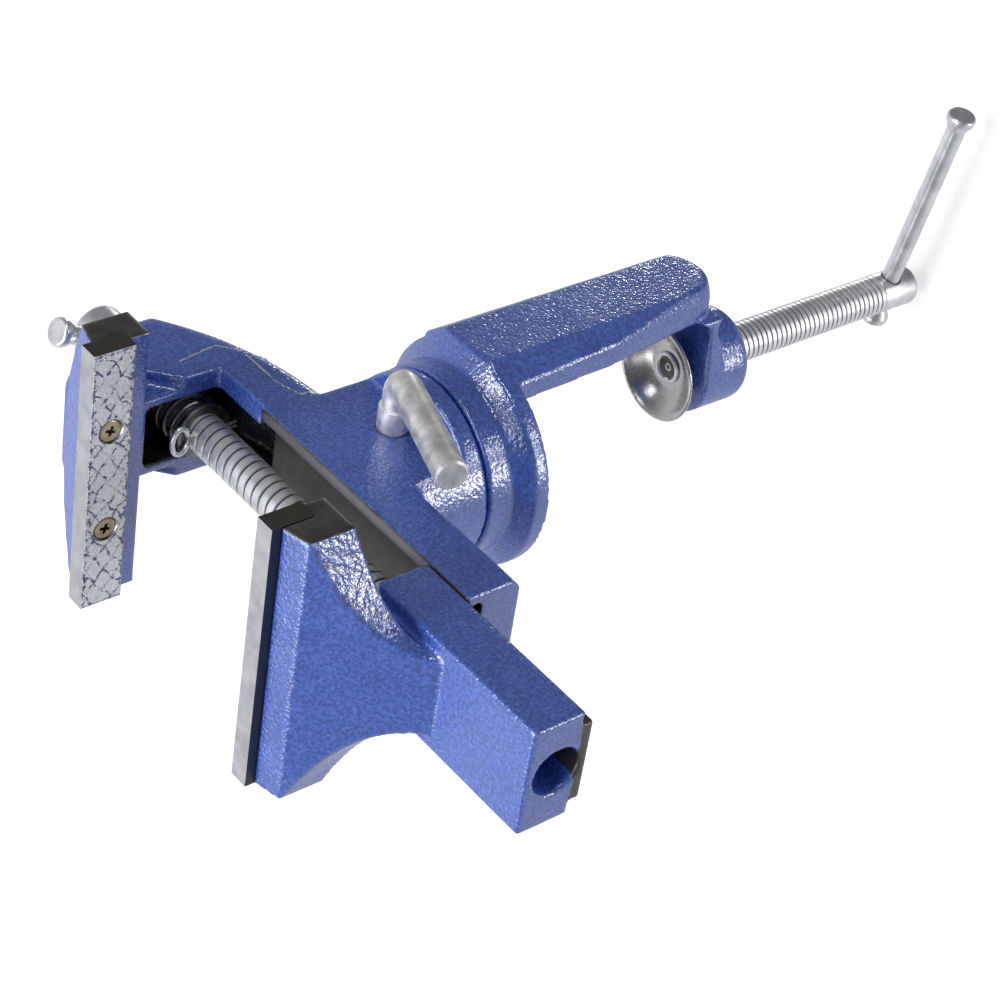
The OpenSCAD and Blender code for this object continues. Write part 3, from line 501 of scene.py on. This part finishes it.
def cast_skin(name, node, body, machined, hollow=None, seam=None, coarse=None, reshape=None):
    """A casting's piece. machined(x, y, z) in mm is 1 where a face was cut and 2 where it is rubbed bright.
    hollow(x, y, z) is true deep in the casting, where the enamel gets painted shade, and seam(x, y, z) gives
    1 along a raised casting line.
    coarse is the way that a face of rougher sand looks, and reshape moves the points first."""
    mesh = remeshed(node, voxel)
    points = np.empty(len(mesh.vertices) * 3)
    mesh.vertices.foreach_get("co", points)
    points = points.reshape(-1, 3)
    if reshape:
        points = reshape(points / mm) * mm
    edges = np.empty(len(mesh.edges) * 2, np.int64)
    mesh.edges.foreach_get("vertices", edges)
    edges = edges.reshape(-1, 2)
    level = machined(*(points / mm).T).astype(float)
    cut = np.minimum(level, 1)
    ease = (ease_share * (1 - held_share * cut))[:, None]
    for turn in range(rounds):
        points += ease * (neighbour_mean(points, edges) - points)
    mesh.vertices.foreach_set("co", points.ravel())
    mesh.update()
    normals = np.empty(len(points) * 3)
    mesh.vertices.foreach_get("normal", normals)
    normals = normals.reshape(-1, 3)
    pull = neighbour_mean(points, edges) - points
    turn = -(pull * normals).sum(1) / voxel
    swell = np.array([noise.noise(Vector(p) / wave_l) for p in points])
    points += normals * ((1 - cut) * swell * wave)[:, None]
    mesh.vertices.foreach_set("co", points.ravel())
    mesh.shade_smooth()
    sharp = np.clip(turn / sharp_turn, 0, 1)
    if seam:
        sharp = np.maximum(sharp, seam(*(points / mm).T))
    # Deep in the neck, where the enamel gets painted shade.
    inside = hollow(*(points / mm).T) if hollow else np.zeros(len(points))
    sharp *= 1 + 0.2 * np.clip(2 * spread(inside, edges, 10), 0, 1)
    vertex_numbers(mesh, "bare", spread(level, edges))
    vertex_numbers(mesh, "hollow", spread(inside, edges))
    vertex_numbers(mesh, "edge", sharp)
    rough = np.zeros(len(points))
    if coarse:
        rough = np.clip(coarse_gain * (normals @ np.array(coarse) - coarse_cosine), 0, 1)
    vertex_numbers(mesh, "coarse", rough)
    mesh.materials.clear()
    mesh.materials.append(enamel)
    return linked(name, mesh, body, "enamel", node)


jaw_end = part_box("fixed_jaw_plate")[1].x / mm - 0.4
head_bottom = 76.7
rail_z = 51.0
rail_front = -21.7
rail_half = 15.3
groove_half = 12.6
groove_floor = 46.3
bearing_z = 14.8
under_r = 29.4


def body_machined(x, y, z):
    """The fixed jaw's ends, the groove, and the rails that the slide rubs."""
    ends = (np.abs(x) > jaw_end) & (z > head_bottom - 0.3)
    rails = (z > rail_z - 0.35) & (z < rail_z + 1) & (y > rail_front) & (np.abs(x) < rail_half - 0.6)
    groove = (np.abs(x) < groove_half) & (z > groove_floor - 0.4) & (z < rail_z + 1) & (y > rail_front - 0.6)
    return (ends | groove) + 2 * rails


hollow_half = 9.0
hollow_front = -57.3
hollow_bottom = 36
hollow_top = 71.3
seam_line = [(-47.0, 58.1), (-48.8, 46.6), (-44.2, 42.3), (-27.6, 41.6), (-21.7, 39.4), (-21.2, 34.7)]
seam_half = 0.75


def body_hollow(x, y, z):
    """The inside of the neck, where the enamel is painted nearly black as painted shade."""
    along = (y > hollow_front) & (y < rail_front)
    return (np.abs(x) < hollow_half) & along & (z > hollow_bottom) & (z < hollow_top)


def body_seam(x, y, z):
    """The casting line on the lever's side of the neck."""
    off = np.full(len(x), 9.0)
    for (y0, z0), (y1, z1) in zip(seam_line, seam_line[1:]):
        run = np.clip(((y - y0) * (y1 - y0) + (z - z0) * (z1 - z0)) / ((y1 - y0) ** 2 + (z1 - z0) ** 2), 0, 1)
        off = np.minimum(off, np.hypot(y - y0 - run * (y1 - y0), z - z0 - run * (z1 - z0)))
    return np.where(x < -rail_half + 4, np.clip(1.5 - 1.5 * off / seam_half, 0, 1.4), 0)


def slide_machined(x, y, z):
    """The moving jaw's ends and the underside of the slide."""
    ends = (np.abs(x) > jaw_end) & (z > head_bottom - 0.3)
    return ends | ((z < rail_z + 0.5) & (np.abs(x) < rail_half - 0.2))


def frame_machined(x, y, z):
    """The bearing on top of the disc, and the face under it that meets the table."""
    return (z > bearing_z) | ((z > -0.35) & (z < 0.3) & (np.hypot(x, y) < under_r))


rim_r = 30.1
rim_top = 4.3
shoulder_r = 25.4
shoulder_z = 7.7
disc_top = 14.6
disc_top_r = 25.2
shoulder_share = 0.457


def disc_shoulder(points):
    """The disc's side, moved in from a plain cone to a low cone with a straight shoulder above it."""
    radius = np.hypot(points[:, 0], points[:, 1])
    run = (points[:, 2] - rim_top) / (disc_top - rim_top)
    cone_r = rim_r + (disc_top_r - rim_r) * run
    on_cone = (run > 0.01) & (run < 0.99) & (np.abs(radius - cone_r) < 0.8)
    low = np.clip(run / shoulder_share, 0, 1)
    high = np.clip((run - shoulder_share) / (1 - shoulder_share), 0, 1)
    new_r = rim_r + (shoulder_r - rim_r) * low + (disc_top_r - shoulder_r) * high
    new_z = rim_top + (shoulder_z - rim_top) * low + (disc_top - shoulder_z) * high
    made = points.copy()
    made[on_cone, :2] *= (new_r / radius)[on_cone, None]
    made[on_cone, 2] = new_z[on_cone]
    return made


castings = [
    cast_skin("body_casting", "vise_body", "vise_body", body_machined, body_hollow, body_seam),
    cast_skin("slide_casting", "moving_jaw", "moving_jaw", slide_machined, coarse=(-0.45, 0.89, 0)),
    cast_skin("frame_casting", "clamp_frame", "clamp_base", frame_machined, reshape=disc_shoulder)]
print("casting faces:", [len(c.data.polygons) for c in castings])

# %% [markdown]
# ## Turned pieces
# Washers, handles, screw heads and the pad are round, so each is an outline spun about its axis.
# Corners of the outline are replaced by short arcs, because a real edge is never perfectly sharp
# and its thin highlight shows.


# %% Lathe
def rounded(outline, radius, steps=4):
    """The outline with each inner corner replaced by an arc of about that radius."""
    made = [Vector(outline[0])]
    for before, corner, after in zip(outline, outline[1:], outline[2:]):
        before, corner, after = Vector(before), Vector(corner), Vector(after)
        reach = min(radius, (before - corner).length / 2, (after - corner).length / 2)
        start = corner + (before - corner).normalized() * reach
        end = corner + (after - corner).normalized() * reach
        for i in range(steps + 1):
            t = i / steps
            made.append(start * (1 - t) ** 2 + corner * 2 * t * (1 - t) + end * t * t)
    made.append(Vector(outline[-1]))
    return made


def spun(outline, start, axis, sides=72):
    """Points and faces of an outline of (radius, height) pairs, in mm, spun about an axis from start."""
    turn = Vector((0, 0, 1)).rotation_difference(Vector(axis)).to_matrix()
    points = []
    for radius, height in outline:
        for i in range(sides):
            a = 2 * math.pi * i / sides
            spot = Vector((radius * math.cos(a), radius * math.sin(a), height))
            points.append(Vector(start) + turn @ spot * mm)
    faces = []
    for j in range(len(outline) - 1):
        for i in range(sides):
            k = (i + 1) % sides
            faces.append((j * sides + i, j * sides + k, (j + 1) * sides + k, (j + 1) * sides + i))
    return points, faces


crease = 40


def merged(name, parts, sharp=crease):
    """One mesh from several (points, faces), welded and shaded smooth up to the angle sharp."""
    points, faces = [], []
    for some_points, some_faces in parts:
        first = len(points)
        points.extend(some_points)
        faces.extend(tuple(first + i for i in face) for face in some_faces)
    mesh = bpy.data.meshes.new(name)
    mesh.from_pydata(points, [], faces)
    work = bpy.data.objects.new(name, mesh)
    scene.collection.objects.link(work)
    weld = work.modifiers.new("weld", "WELD")
    weld.merge_threshold = 0.002 * mm
    made = bpy.data.meshes.new_from_object(work.evaluated_get(bpy.context.evaluated_depsgraph_get()))
    bpy.data.objects.remove(work)
    made.name = name
    shell = bmesh.new()
    shell.from_mesh(made)
    bmesh.ops.recalc_face_normals(shell, faces=shell.faces)
    shell.to_mesh(made)
    shell.free()
    made.shade_smooth()
    made.set_sharp_from_angle(angle=math.radians(sharp))
    return made


def turned(outline, start, axis, radius=0.3, sides=72):
    """A spun part with rounded corners."""
    return spun(rounded(outline, radius), start, axis, sides)


def dressed(name, parts, material, body, slot, *nodes, sharp=crease):
    """A finished piece from parts, in one material."""
    mesh = merged(name, parts, sharp)
    mesh.materials.append(material)
    return linked(name, mesh, body, slot, *nodes)


def drilled(piece, *cutters):
    """Cuts holes in a piece, each given as the points and faces of a closed solid."""
    for cutter in cutters:
        tool = bpy.data.objects.new("tool", merged("tool", [cutter]))
        scene.collection.objects.link(tool)
        hole = piece.modifiers.new("hole", "BOOLEAN")
        hole.object = tool
        hole.solver = "EXACT"
        cut = bpy.data.meshes.new_from_object(piece.evaluated_get(bpy.context.evaluated_depsgraph_get()))
        piece.modifiers.clear()
        piece.data = cut
        bpy.data.objects.remove(tool)
    piece.data.shade_smooth()
    piece.data.set_sharp_from_angle(angle=math.radians(crease))


def middle(node):
    """The middle of a node's box."""
    low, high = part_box(node)
    return (low + high) / 2


def joint_axis(name):
    """The axis of a joint, as the record gives it."""
    return Vector(next(j["axis"] for j in frame["joints"] if j["name"] == name))


print("lathe ready")

# %% [markdown]
# ## Threads
# A thread is a rod whose radius rises and falls along a helix. The grid of points is sheared by one
# pitch per turn, so that every row of points follows the helix and the crests come out clean.


# %% Threaded rods
def thread(start, axis, length, radius, pitch, depth, run_out=1.2, sides=56, rows=12):
    """A threaded rod's wall, in mm, from start along axis. The thread dies out over run_out at both ends."""
    turn = Vector((0, 0, 1)).rotation_difference(Vector(axis)).to_matrix()
    count = int(length / pitch * rows) + 2 * rows
    points = []
    for j in range(count):
        share = (j % rows) / rows
        crest = min(1.0, abs(2 * share - 1) / 0.34)
        for i in range(sides):
            height = (j / rows - 1 + i / sides) * pitch
            height = min(max(height, 0.0), length)
            fade = min(1.0, height / run_out, (length - height) / run_out)
            r = radius - depth * (1 - crest) * fade
            a = 2 * math.pi * i / sides
            points.append(Vector(start) + turn @ Vector((r * math.cos(a), r * math.sin(a), height)) * mm)
    faces = []
    for j in range(count - 1):
        for i in range(sides):
            k = i + 1
            a = j * sides + i
            b = j * sides + k if k < sides else (j + rows) * sides
            if b + sides < len(points):
                faces.append((a, b, b + sides, a + sides))
    return points, faces


lead_r = 5.25
lead_low, lead_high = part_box("lead_screw")
lead_z = middle("retaining_washer").z
lead_axis = Vector((0, 1, 0))
head_r = (lead_high.x - lead_low.x) / 2 / mm
head_l = (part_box("thrust_washer")[0].y - lead_low.y) / mm
rod_l = (lead_high.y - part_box("thrust_washer")[0].y) / mm
lead_front = Vector((0, lead_low.y, lead_z))
lead_head_end = lead_front + lead_axis * head_l * mm
plain_l = 33.0
tip_l = 1.2
bar_r = 2.6
bar_hole_r = 2.95
bar_hole_half = 15


def bar_hole(place, axis):
    """A rod that cuts the hole for a T-bar."""
    half = bar_hole_half
    return spun([(0, -half), (bar_hole_r, -half), (bar_hole_r, half), (0, half)], place, axis, 48)


lead_head = dressed("lead_head", [turned(
    [(0, 0), (head_r - 0.9, 0), (head_r, 1.1), (head_r, head_l - 0.3), (head_r - 0.6, head_l), (0, head_l)],
    lead_front, lead_axis, 0.5)], zinc, "lead_screw", "zinc", "lead_screw")
lead_bar_axis = joint_axis("lead_bar_slide")
lead_bar_place = Vector((0, middle("lead_tbar").y, lead_z))
drilled(lead_head, bar_hole(lead_bar_place, lead_bar_axis))
lead_pitch = 3.0
lead_depth = 0.5
lead_zinc = thread_metal("lead_zinc", lead_front, (1, 0, 1), lead_r, lead_depth)
lead_rod = dressed("lead_thread", [
    turned([(lead_r, -0.5), (lead_r, plain_l)], lead_head_end, lead_axis),
    thread(lead_head_end + lead_axis * plain_l * mm, lead_axis, rod_l - plain_l - tip_l,
           lead_r, lead_pitch, lead_depth),
    turned([(lead_r, rod_l - tip_l), (lead_r - tip_l, rod_l), (0, rod_l)], lead_head_end, lead_axis, 0.4)],
    lead_zinc, "lead_screw", "zinc", sharp=25)
print("lead screw faces:", len(lead_rod.data.polygons))

# %% Clamp screw and pad
clamp_low, clamp_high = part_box("clamp_screw")
pad_low, pad_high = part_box("clamp_pad")
clamp_axis = Vector((0, 0, 1))
clamp_r = (clamp_high.x - clamp_low.x) / 2 / mm
clamp_end = Vector((middle("clamp_screw").x, middle("clamp_screw").y, clamp_low.z))
clamp_l = (pad_low.z - clamp_low.z) / mm - 0.3
clamp_plain_l = 13.0
clamp_bar_axis = joint_axis("clamp_bar_slide")
clamp_bar_place = Vector((clamp_end.x, clamp_end.y, middle("clamp_tbar").z))
clamp_head = dressed("clamp_head", [turned(
    [(0, 0), (clamp_r - 0.7, 0), (clamp_r, 0.9), (clamp_r, clamp_plain_l), (0, clamp_plain_l)],
    clamp_end, clamp_axis, 0.5)], zinc, "clamp_screw", "zinc", "clamp_screw")
drilled(clamp_head, bar_hole(clamp_bar_place, clamp_bar_axis))
rivet_top = (clamp_high.z - clamp_low.z) / mm
rivet_r = 3.0
ring_r = 4.4
clamp_pitch = 1.75
clamp_depth = 0.35
clamp_zinc = thread_metal("clamp_zinc", clamp_end, (1, 1, 0), clamp_r, clamp_depth)
rivet_outline = [
    (clamp_r, clamp_l - 0.01), (clamp_r - 0.5, clamp_l), (rivet_r, clamp_l), (rivet_r, rivet_top - 0.8),
    (ring_r, rivet_top - 0.8), (ring_r, rivet_top - 0.4), (ring_r - 0.5, rivet_top),
    (ring_r - 0.9, rivet_top), (rivet_r, rivet_top - 0.8), (0, rivet_top - 1.0)]
dressed("clamp_thread", [
    thread(clamp_end + clamp_axis * clamp_plain_l * mm, clamp_axis, clamp_l - clamp_plain_l,
           clamp_r, clamp_pitch, clamp_depth),
    turned(rivet_outline, clamp_end, clamp_axis, 0.25)],
    clamp_zinc, "clamp_screw", "zinc", sharp=25)
# Painted shade: a dark iron disc inside the rivet's head stands in for the shade in its hole.
hollow_outline = [(rivet_r + 0.3, rivet_top - 0.6), (0.9, rivet_top - 0.95), (0, rivet_top - 0.95)]
dressed("rivet_hollow", [spun(hollow_outline, clamp_end, clamp_axis, 48)], nut_iron, "clamp_screw", "zinc")

pad_r = (pad_high.x - pad_low.x) / 2 / mm
pad_rim = Vector((middle("clamp_pad").x, middle("clamp_pad").y, pad_high.z))
pad_h = (pad_high.z - pad_low.z) / mm
dish = 4.6
pad_inside = [(rivet_r + 0.05, -dish), (6.0, -dish), (6.4, -dish + 0.15), (7.9, -3.83), (9.3, -2.95),
              (10.8, -1.85), (pad_r - 1.7, -0.55), (pad_r - 0.9, -0.05), (pad_r - 0.4, 0)]
pad_outside = [(pad_r, -0.35), (pad_r - 0.1, -0.9), (pad_r - 1.5, -1.6), (7.2, -dish - 1.1),
               (6.5, -dish - 1.2), (6.5, -pad_h), (rivet_r + 0.05, -pad_h)]
dressed("clamp_pad_dish", [turned(pad_inside + pad_outside, pad_rim, clamp_axis, 0.9, 96)],
        pressed, "clamp_pad", "pad_steel", "clamp_pad", sharp=50)
print("pad diameter, mm:", round(2 * pad_r, 1))

# %% [markdown]
# ## Handles
# Both handles are the same bar: one end is upset into a flat head, and the other carries a pressed
# cap of the same shape, so that the bar can't fall out of its screw.


# %% T-bars
bar_l = 73.5
bar_head_r = 3.9
bar_head_l = 2.0
bar_taper_l = 2.6


def bar_end(sign):
    """Outline of one bar head, from the bar outwards, at the end that sign says."""
    reach = bar_l / 2
    neck = reach - bar_head_l - bar_taper_l
    outline = [(bar_r, neck - 0.01), (bar_r, neck), (bar_head_r, neck + bar_taper_l),
               (bar_head_r, reach - 0.5), (bar_head_r - 0.55, reach), (0, reach - 0.12)]
    return [(r, sign * h) for r, h in outline]


def handle(name, node, cap_node, place, axis, body):
    """A T-bar and its cap, through the middle of place along axis."""
    neck = bar_l / 2 - bar_head_l - bar_taper_l
    dressed(name, [turned([(bar_r, -neck)] + bar_end(1), place, axis, 0.35),
                   spun([(0, -neck), (bar_r, -neck)], place, axis)], zinc, body, "zinc", node)
    dressed(name + "_cap", [turned(bar_end(-1), place, axis, 0.35)], zinc, body, "zinc", cap_node)


def bar_middle(node, cap_node):
    """The middle of a whole bar, from the boxes of the bar and its cap."""
    low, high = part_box(node)
    cap_low, cap_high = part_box(cap_node)
    return Vector(((min(a, b) + max(c, d)) / 2 for a, b, c, d in zip(low, cap_low, high, cap_high)))


handle("lead_bar", "lead_tbar", "lead_tbar_cap", bar_middle("lead_tbar", "lead_tbar_cap"),
       lead_bar_axis, "lead_handle")
handle("clamp_bar", "clamp_tbar", "clamp_tbar_cap", bar_middle("clamp_tbar", "clamp_tbar_cap"),
       clamp_bar_axis, "clamp_handle")
print("bar middles, mm:", [round(v / mm, 1) for v in bar_middle("lead_tbar", "lead_tbar_cap")])

# %% Washers
for node, slot, metal in (("thrust_washer", "zinc", zinc), ("retaining_washer", "spring_wire", wire)):
    low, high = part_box(node)
    washer_r = (high.x - low.x) / 2 / mm
    thick = (high.y - low.y) / mm
    hole_r = lead_r + 0.05
    ring = [(hole_r, 0.4), (hole_r, 0), (washer_r, 0), (washer_r, thick), (hole_r, thick), (hole_r, 0.4)]
    dressed(node + "_turned", [turned(ring, (0, low.y, lead_z), lead_axis, 0.3)],
            metal, "lead_screw", slot, node)
print("washers done")

# %% [markdown]
# ## Bent wire and rod
# The spring, the split pin and the lock lever are bent from wire or rod. A ring of points is
# carried along a path and turned with it, which gives a tube with an even wall.


# %% Tubes
def tube(path, radii, sides=20):
    """Points and faces of a round rod along a path of points in metres; radii in mm, one per point."""
    path = [Vector(p) for p in path]
    ways = [(path[min(i + 1, len(path) - 1)] - path[max(i - 1, 0)]).normalized() for i in range(len(path))]
    side = ways[0].orthogonal().normalized()
    points = []
    for i, (point, way) in enumerate(zip(path, ways)):
        if i:
            side = (ways[i - 1].rotation_difference(way) @ side).normalized()
        other = way.cross(side)
        for k in range(sides):
            a = 2 * math.pi * k / sides
            points.append(point + (side * math.cos(a) + other * math.sin(a)) * radii[i] * mm)
    faces = []
    for i in range(len(path) - 1):
        for k in range(sides):
            n = (k + 1) % sides
            faces.append((i * sides + k, i * sides + n, (i + 1) * sides + n, (i + 1) * sides + k))
    faces.append(tuple(range(sides))[::-1])
    faces.append(tuple(range(len(points) - sides, len(points))))
    return points, faces


spring_low, spring_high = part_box("lead_spring")
spring_r = 6.7
spring_wire_r = 0.75
spring_turns = 4.5
spring_steps = 24
spring_end = 1.5
spring_l = (spring_high.y - spring_low.y) / mm
spring_path = []
for i in range(int(spring_turns * spring_steps) + 1):
    a = 2 * math.pi * i / spring_steps
    along = spring_end + (spring_l - 2 * spring_end) * i / (spring_turns * spring_steps)
    spring_path.append(Vector((spring_r * math.cos(a), along, spring_r * math.sin(a))) * mm)
spring_path = [spring_path[0] - Vector((0, spring_end, 0)) * mm] + spring_path
spring_path.append(spring_path[-1] + Vector((0, spring_end, 0)) * mm)
spring_path = [p + Vector((0, spring_low.y, lead_z)) for p in spring_path]
dressed("lead_spring_coil", [tube(spring_path, [spring_wire_r] * len(spring_path), 12)], wire, "vise_body",
        "spring_wire", "lead_spring", sharp=60)

# %% Split pin
pin_turn = math.radians(90)
pin_place = Vector((0, middle("cotter_pin").y, lead_z))
pin_way = Vector((math.cos(pin_turn), 0, -math.sin(pin_turn)))
pin_side = Vector((math.sin(pin_turn), 0, math.cos(pin_turn)))
pin_wire_r = 0.75
eye_r = 2.3
eye_tall_r = 3.8
eye_steps = 24
eye_gap = 20
leg_half = 0.36
leg_spread = 0.75
leg_past = 3.9
leg_radii = [0.42, 0.4, 0.4, 0.38]
eye_place = pin_place - pin_way * (lead_r - 0.2 + eye_r) * mm
eye_path = []
for i in range(eye_steps + 1):
    a = math.radians(eye_gap + (360 - 2 * eye_gap) * i / eye_steps)
    eye_path.append(eye_place + (pin_way * math.cos(a) * eye_r + pin_side * math.sin(a) * eye_tall_r) * mm)
pin_end = pin_place + pin_way * (lead_r + leg_past) * mm
legs = []
for sign, corner in ((1, eye_path[0]), (-1, eye_path[-1])):
    start = pin_place - pin_way * lead_r * mm + pin_side * sign * leg_half * mm
    finish_point = pin_end + pin_side * sign * leg_spread * mm
    middle_point = pin_place + pin_way * lead_r * mm + pin_side * sign * leg_half * mm
    legs.append(tube([corner, start, middle_point, finish_point], leg_radii, 12))
dressed("split_pin", [tube(eye_path, [pin_wire_r] * len(eye_path), 12)] + legs, zinc, "lead_screw", "zinc",
        "cotter_pin", sharp=60)

# %% Lock lever
lever_r = 4.1
lever_reach = 31.0
lever_bend = 6.0
lever_l = 40.4
lever_slope = math.radians(19)
lever_z = next(j["pos_m"][2] for j in frame["joints"] if j["name"] == "swivel_lock_turn")
rim = 0.55
collar_from = -15.7
collar_to = -21.8
neck_from = -22.3
bend_steps = 12
bend_from = -lever_reach + lever_bend
flat_path = [(collar_from, 0.0), (collar_to, 0.0), (neck_from, 0.0), (bend_from, 0.0)]
for i in range(1, bend_steps + 1):
    a = math.radians(90 * i / bend_steps)
    flat_path.append((bend_from - lever_bend * math.sin(a), lever_bend - lever_bend * math.cos(a)))
flat_path += [(-lever_reach, y) for y in (12.0, 20.0, 30.0, lever_l - rim, lever_l)]
lever_path = []
for x, y in flat_path:
    rise = y * math.sin(lever_slope) * mm
    lever_path.append(Vector((x * mm, y * math.cos(lever_slope) * mm, lever_z + rise)))
pinch = 0.6
lever_radii = [lever_r, lever_r]
for i in range(2, len(lever_path) - 1):
    lever_radii.append(lever_r - pinch * min(1.0, max(0.0, (16 - i) / 6)))
lever_radii.append(lever_r - rim)
lever_screw_r = 3.5
lever_screw_place = Vector((-18.5 * mm, 0, lever_z))
lever_screw = turned([(0, -9.5), (lever_screw_r, -9.5), (lever_screw_r, 2.0), (0, 2.0)],
                     lever_screw_place, (-1, 0, 0), 0.3)
dressed("lock_lever", [tube(lever_path, lever_radii, 40), lever_screw], satin, "swivel_lock", "zinc",
        "swivel_lock_lever", sharp=35)
print("lever length, mm:", lever_l)

# %% [markdown]
# ## Jaw plates
# The grip is a net of shallow grooves cut at a slant both ways, which leaves flat diamonds. The
# grooves stray a little from their lines. The front face is a fine grid whose points are set back
# along the grooves; the sides and the back close it, and two countersunk holes are cut last.


# %% Hatched plates
hatch_pitch = 4.2
hatch_angle = math.radians(52)
hatch_depth = 0.25
hatch_half = 0.5
hatch_stray = 1.1
grid_step = 0.22
rim_bevel = 0.25
rim_fade = 1.5
countersink = [(0, 1), (3.55, 1), (3.45, 0), (1.7, -2.4), (1.7, -7), (0, -7)]


def hatch(x, z):
    """Depth of the net of grooves at a point of the face, in mm."""
    depth = 0.0
    x += hatch_stray * noise.noise(Vector((x / 4, z / 4, 0)))
    z += hatch_stray * noise.noise(Vector((x / 4, z / 4, 9)))
    for sign in (-1, 1):
        across = (x * math.cos(hatch_angle) + sign * z * math.sin(hatch_angle)) / hatch_pitch
        off = abs(across - round(across)) * hatch_pitch
        depth = max(depth, hatch_depth * max(0.0, 1 - off / hatch_half))
    return depth


def plate_part(low, high, way):
    """Points and faces of a plate whose gripping face looks along way in Y, in metres. Its grip numbers are 0
    off that face, 1 on it and 2 at the bottom of a groove."""
    width, height = (high.x - low.x) / mm, (high.z - low.z) / mm
    across, up = round(width / grid_step), round(height / grid_step)
    face_y = high.y if way > 0 else low.y
    back_y = low.y if way > 0 else high.y
    points, grips = [], []
    for j in range(up + 1):
        for i in range(across + 1):
            x, z = width * i / across, height * j / up
            rim_off = min(x, width - x, z, height - z)
            sink = hatch(x - width / 2, z - height / 2) if rim_off > 0 else 0.0
            sink = max(sink, rim_bevel - rim_off)
            points.append(Vector((low.x + x * mm, face_y - way * sink * mm, low.z + z * mm)))
            groove = min(1, max(sink / hatch_depth, 1.1 - rim_off / rim_fade))
            grips.append(1 + groove if rim_off > 0.1 else 0)
    faces = []
    row = across + 1
    for j in range(up):
        for i in range(across):
            a = j * row + i
            quad = (a, a + 1, a + row + 1, a + row)
            faces.append(quad if way < 0 else quad[::-1])
    border = list(range(across + 1)) + [j * row + across for j in range(1, up + 1)]
    border += [up * row + i for i in range(across - 1, -1, -1)] + [j * row for j in range(up - 1, 0, -1)]
    first = len(points)
    for index in border:
        points.append(Vector((points[index].x, back_y, points[index].z)))
        grips.append(0.0)
    count = len(border)
    for n in range(count):
        a, b = border[n], border[(n + 1) % count]
        quad = (a, first + n, first + (n + 1) % count, b)
        faces.append(quad if way < 0 else quad[::-1])
    cap = tuple(range(first, first + count))
    faces.append(cap[::-1] if way < 0 else cap)
    return points, faces, grips


def screw_places(node):
    """The middles of the two screws of a plate."""
    low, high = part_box(node)
    radius = (high.z - low.z) / 2
    centre = (low + high) / 2
    return [Vector((x, centre.y, centre.z)) for x in (low.x + radius, high.x - radius)]


def jaw_plate(name, node, screws, body, way):
    """A hatched plate with countersunk holes for its screws."""
    low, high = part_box(node)
    points, faces, grips = plate_part(low, high, way)
    mesh = bpy.data.meshes.new(name)
    mesh.from_pydata(points, [], faces)
    vertex_numbers(mesh, "grip", grips)
    mesh.materials.append(jaw_steel)
    piece = linked(name, mesh, body, "plate_steel", node)
    face_y = high.y if way > 0 else low.y
    for spot in screw_places(screws):
        start = Vector((spot.x, face_y, spot.z))
        drilled(piece, spun(countersink, start, (0, way, 0), 64))
    return piece


fixed_plate = jaw_plate("fixed_plate_hatched", "fixed_jaw_plate", "fixed_plate_screws", "vise_body", 1)
jaw_plate("moving_plate_hatched", "moving_jaw_plate", "moving_plate_screws", "moving_jaw", -1)
print("plate faces:", len(fixed_plate.data.polygons))

# %% [markdown]
# ## Cross-head screws
# A countersunk screw with a cross recess: the head is spun, and two tapered bars cut the cross.


# %% Plate screws
screw_outline = [(0, 0), (2.7, -0.05), (3.08, -0.25), (1.65, -2.3), (1.65, -8.5), (0, -9.5)]
recess_ends = ((0.6, 1.75, 0.52), (-1.6, 0.9, 0.34))


def recess(spot, way, long_axis):
    """A tapered bar for one arm of a cross recess, in the face at spot."""
    out_way = Vector((0, way, 0))
    cross = out_way.cross(long_axis)
    points = []
    for depth, half_l, half_w in recess_ends:
        for a, b in ((-1, -1), (1, -1), (1, 1), (-1, 1)):
            points.append(spot + (out_way * depth + long_axis * a * half_l + cross * b * half_w) * mm)
    faces = [(0, 1, 2, 3), (7, 6, 5, 4)] + [(i, i + 4, (i + 1) % 4 + 4, (i + 1) % 4) for i in range(4)]
    return points, faces


def plate_screw(name, spot, face_y, way, body, twist):
    """A screw in the face at face_y, its cross turned by twist."""
    start = Vector((spot.x, face_y, spot.z))
    piece = dressed(name, [turned(screw_outline, start, (0, way, 0), 0.2, 48)], yellow, body, "plate_screws")
    first = Vector((math.cos(twist), 0, math.sin(twist)))
    second = Vector((-math.sin(twist), 0, math.cos(twist)))
    drilled(piece, recess(start, way, first), recess(start, way, second))
    return piece


for side, node, body, way, twists in (
        ("fixed", "fixed_plate_screws", "vise_body", 1, (0.3, 0.25)),
        ("moving", "moving_plate_screws", "moving_jaw", -1, (0.9, 0.1))):
    low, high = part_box(node)
    face_y = high.y if way > 0 else low.y
    for i, spot in enumerate(screw_places(node)):
        plate_screw(f"{side}_screw_{i + 1}", spot, face_y, way, body, twists[i])
    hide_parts(node)
print("plate screws: 4")

# %% [markdown]
# ## The nut
# The nut is a plain block deep in the slide. Its solid is right as it is, so it only gets its iron.

# %% Nut
nut = frame["nodes"]["lead_nut"]
nut.data.materials.clear()
nut.data.materials.append(nut_iron)

# %% The end
print("cad box, mm:", [[round(c / mm, 1) for c in v] for v in cad_box])
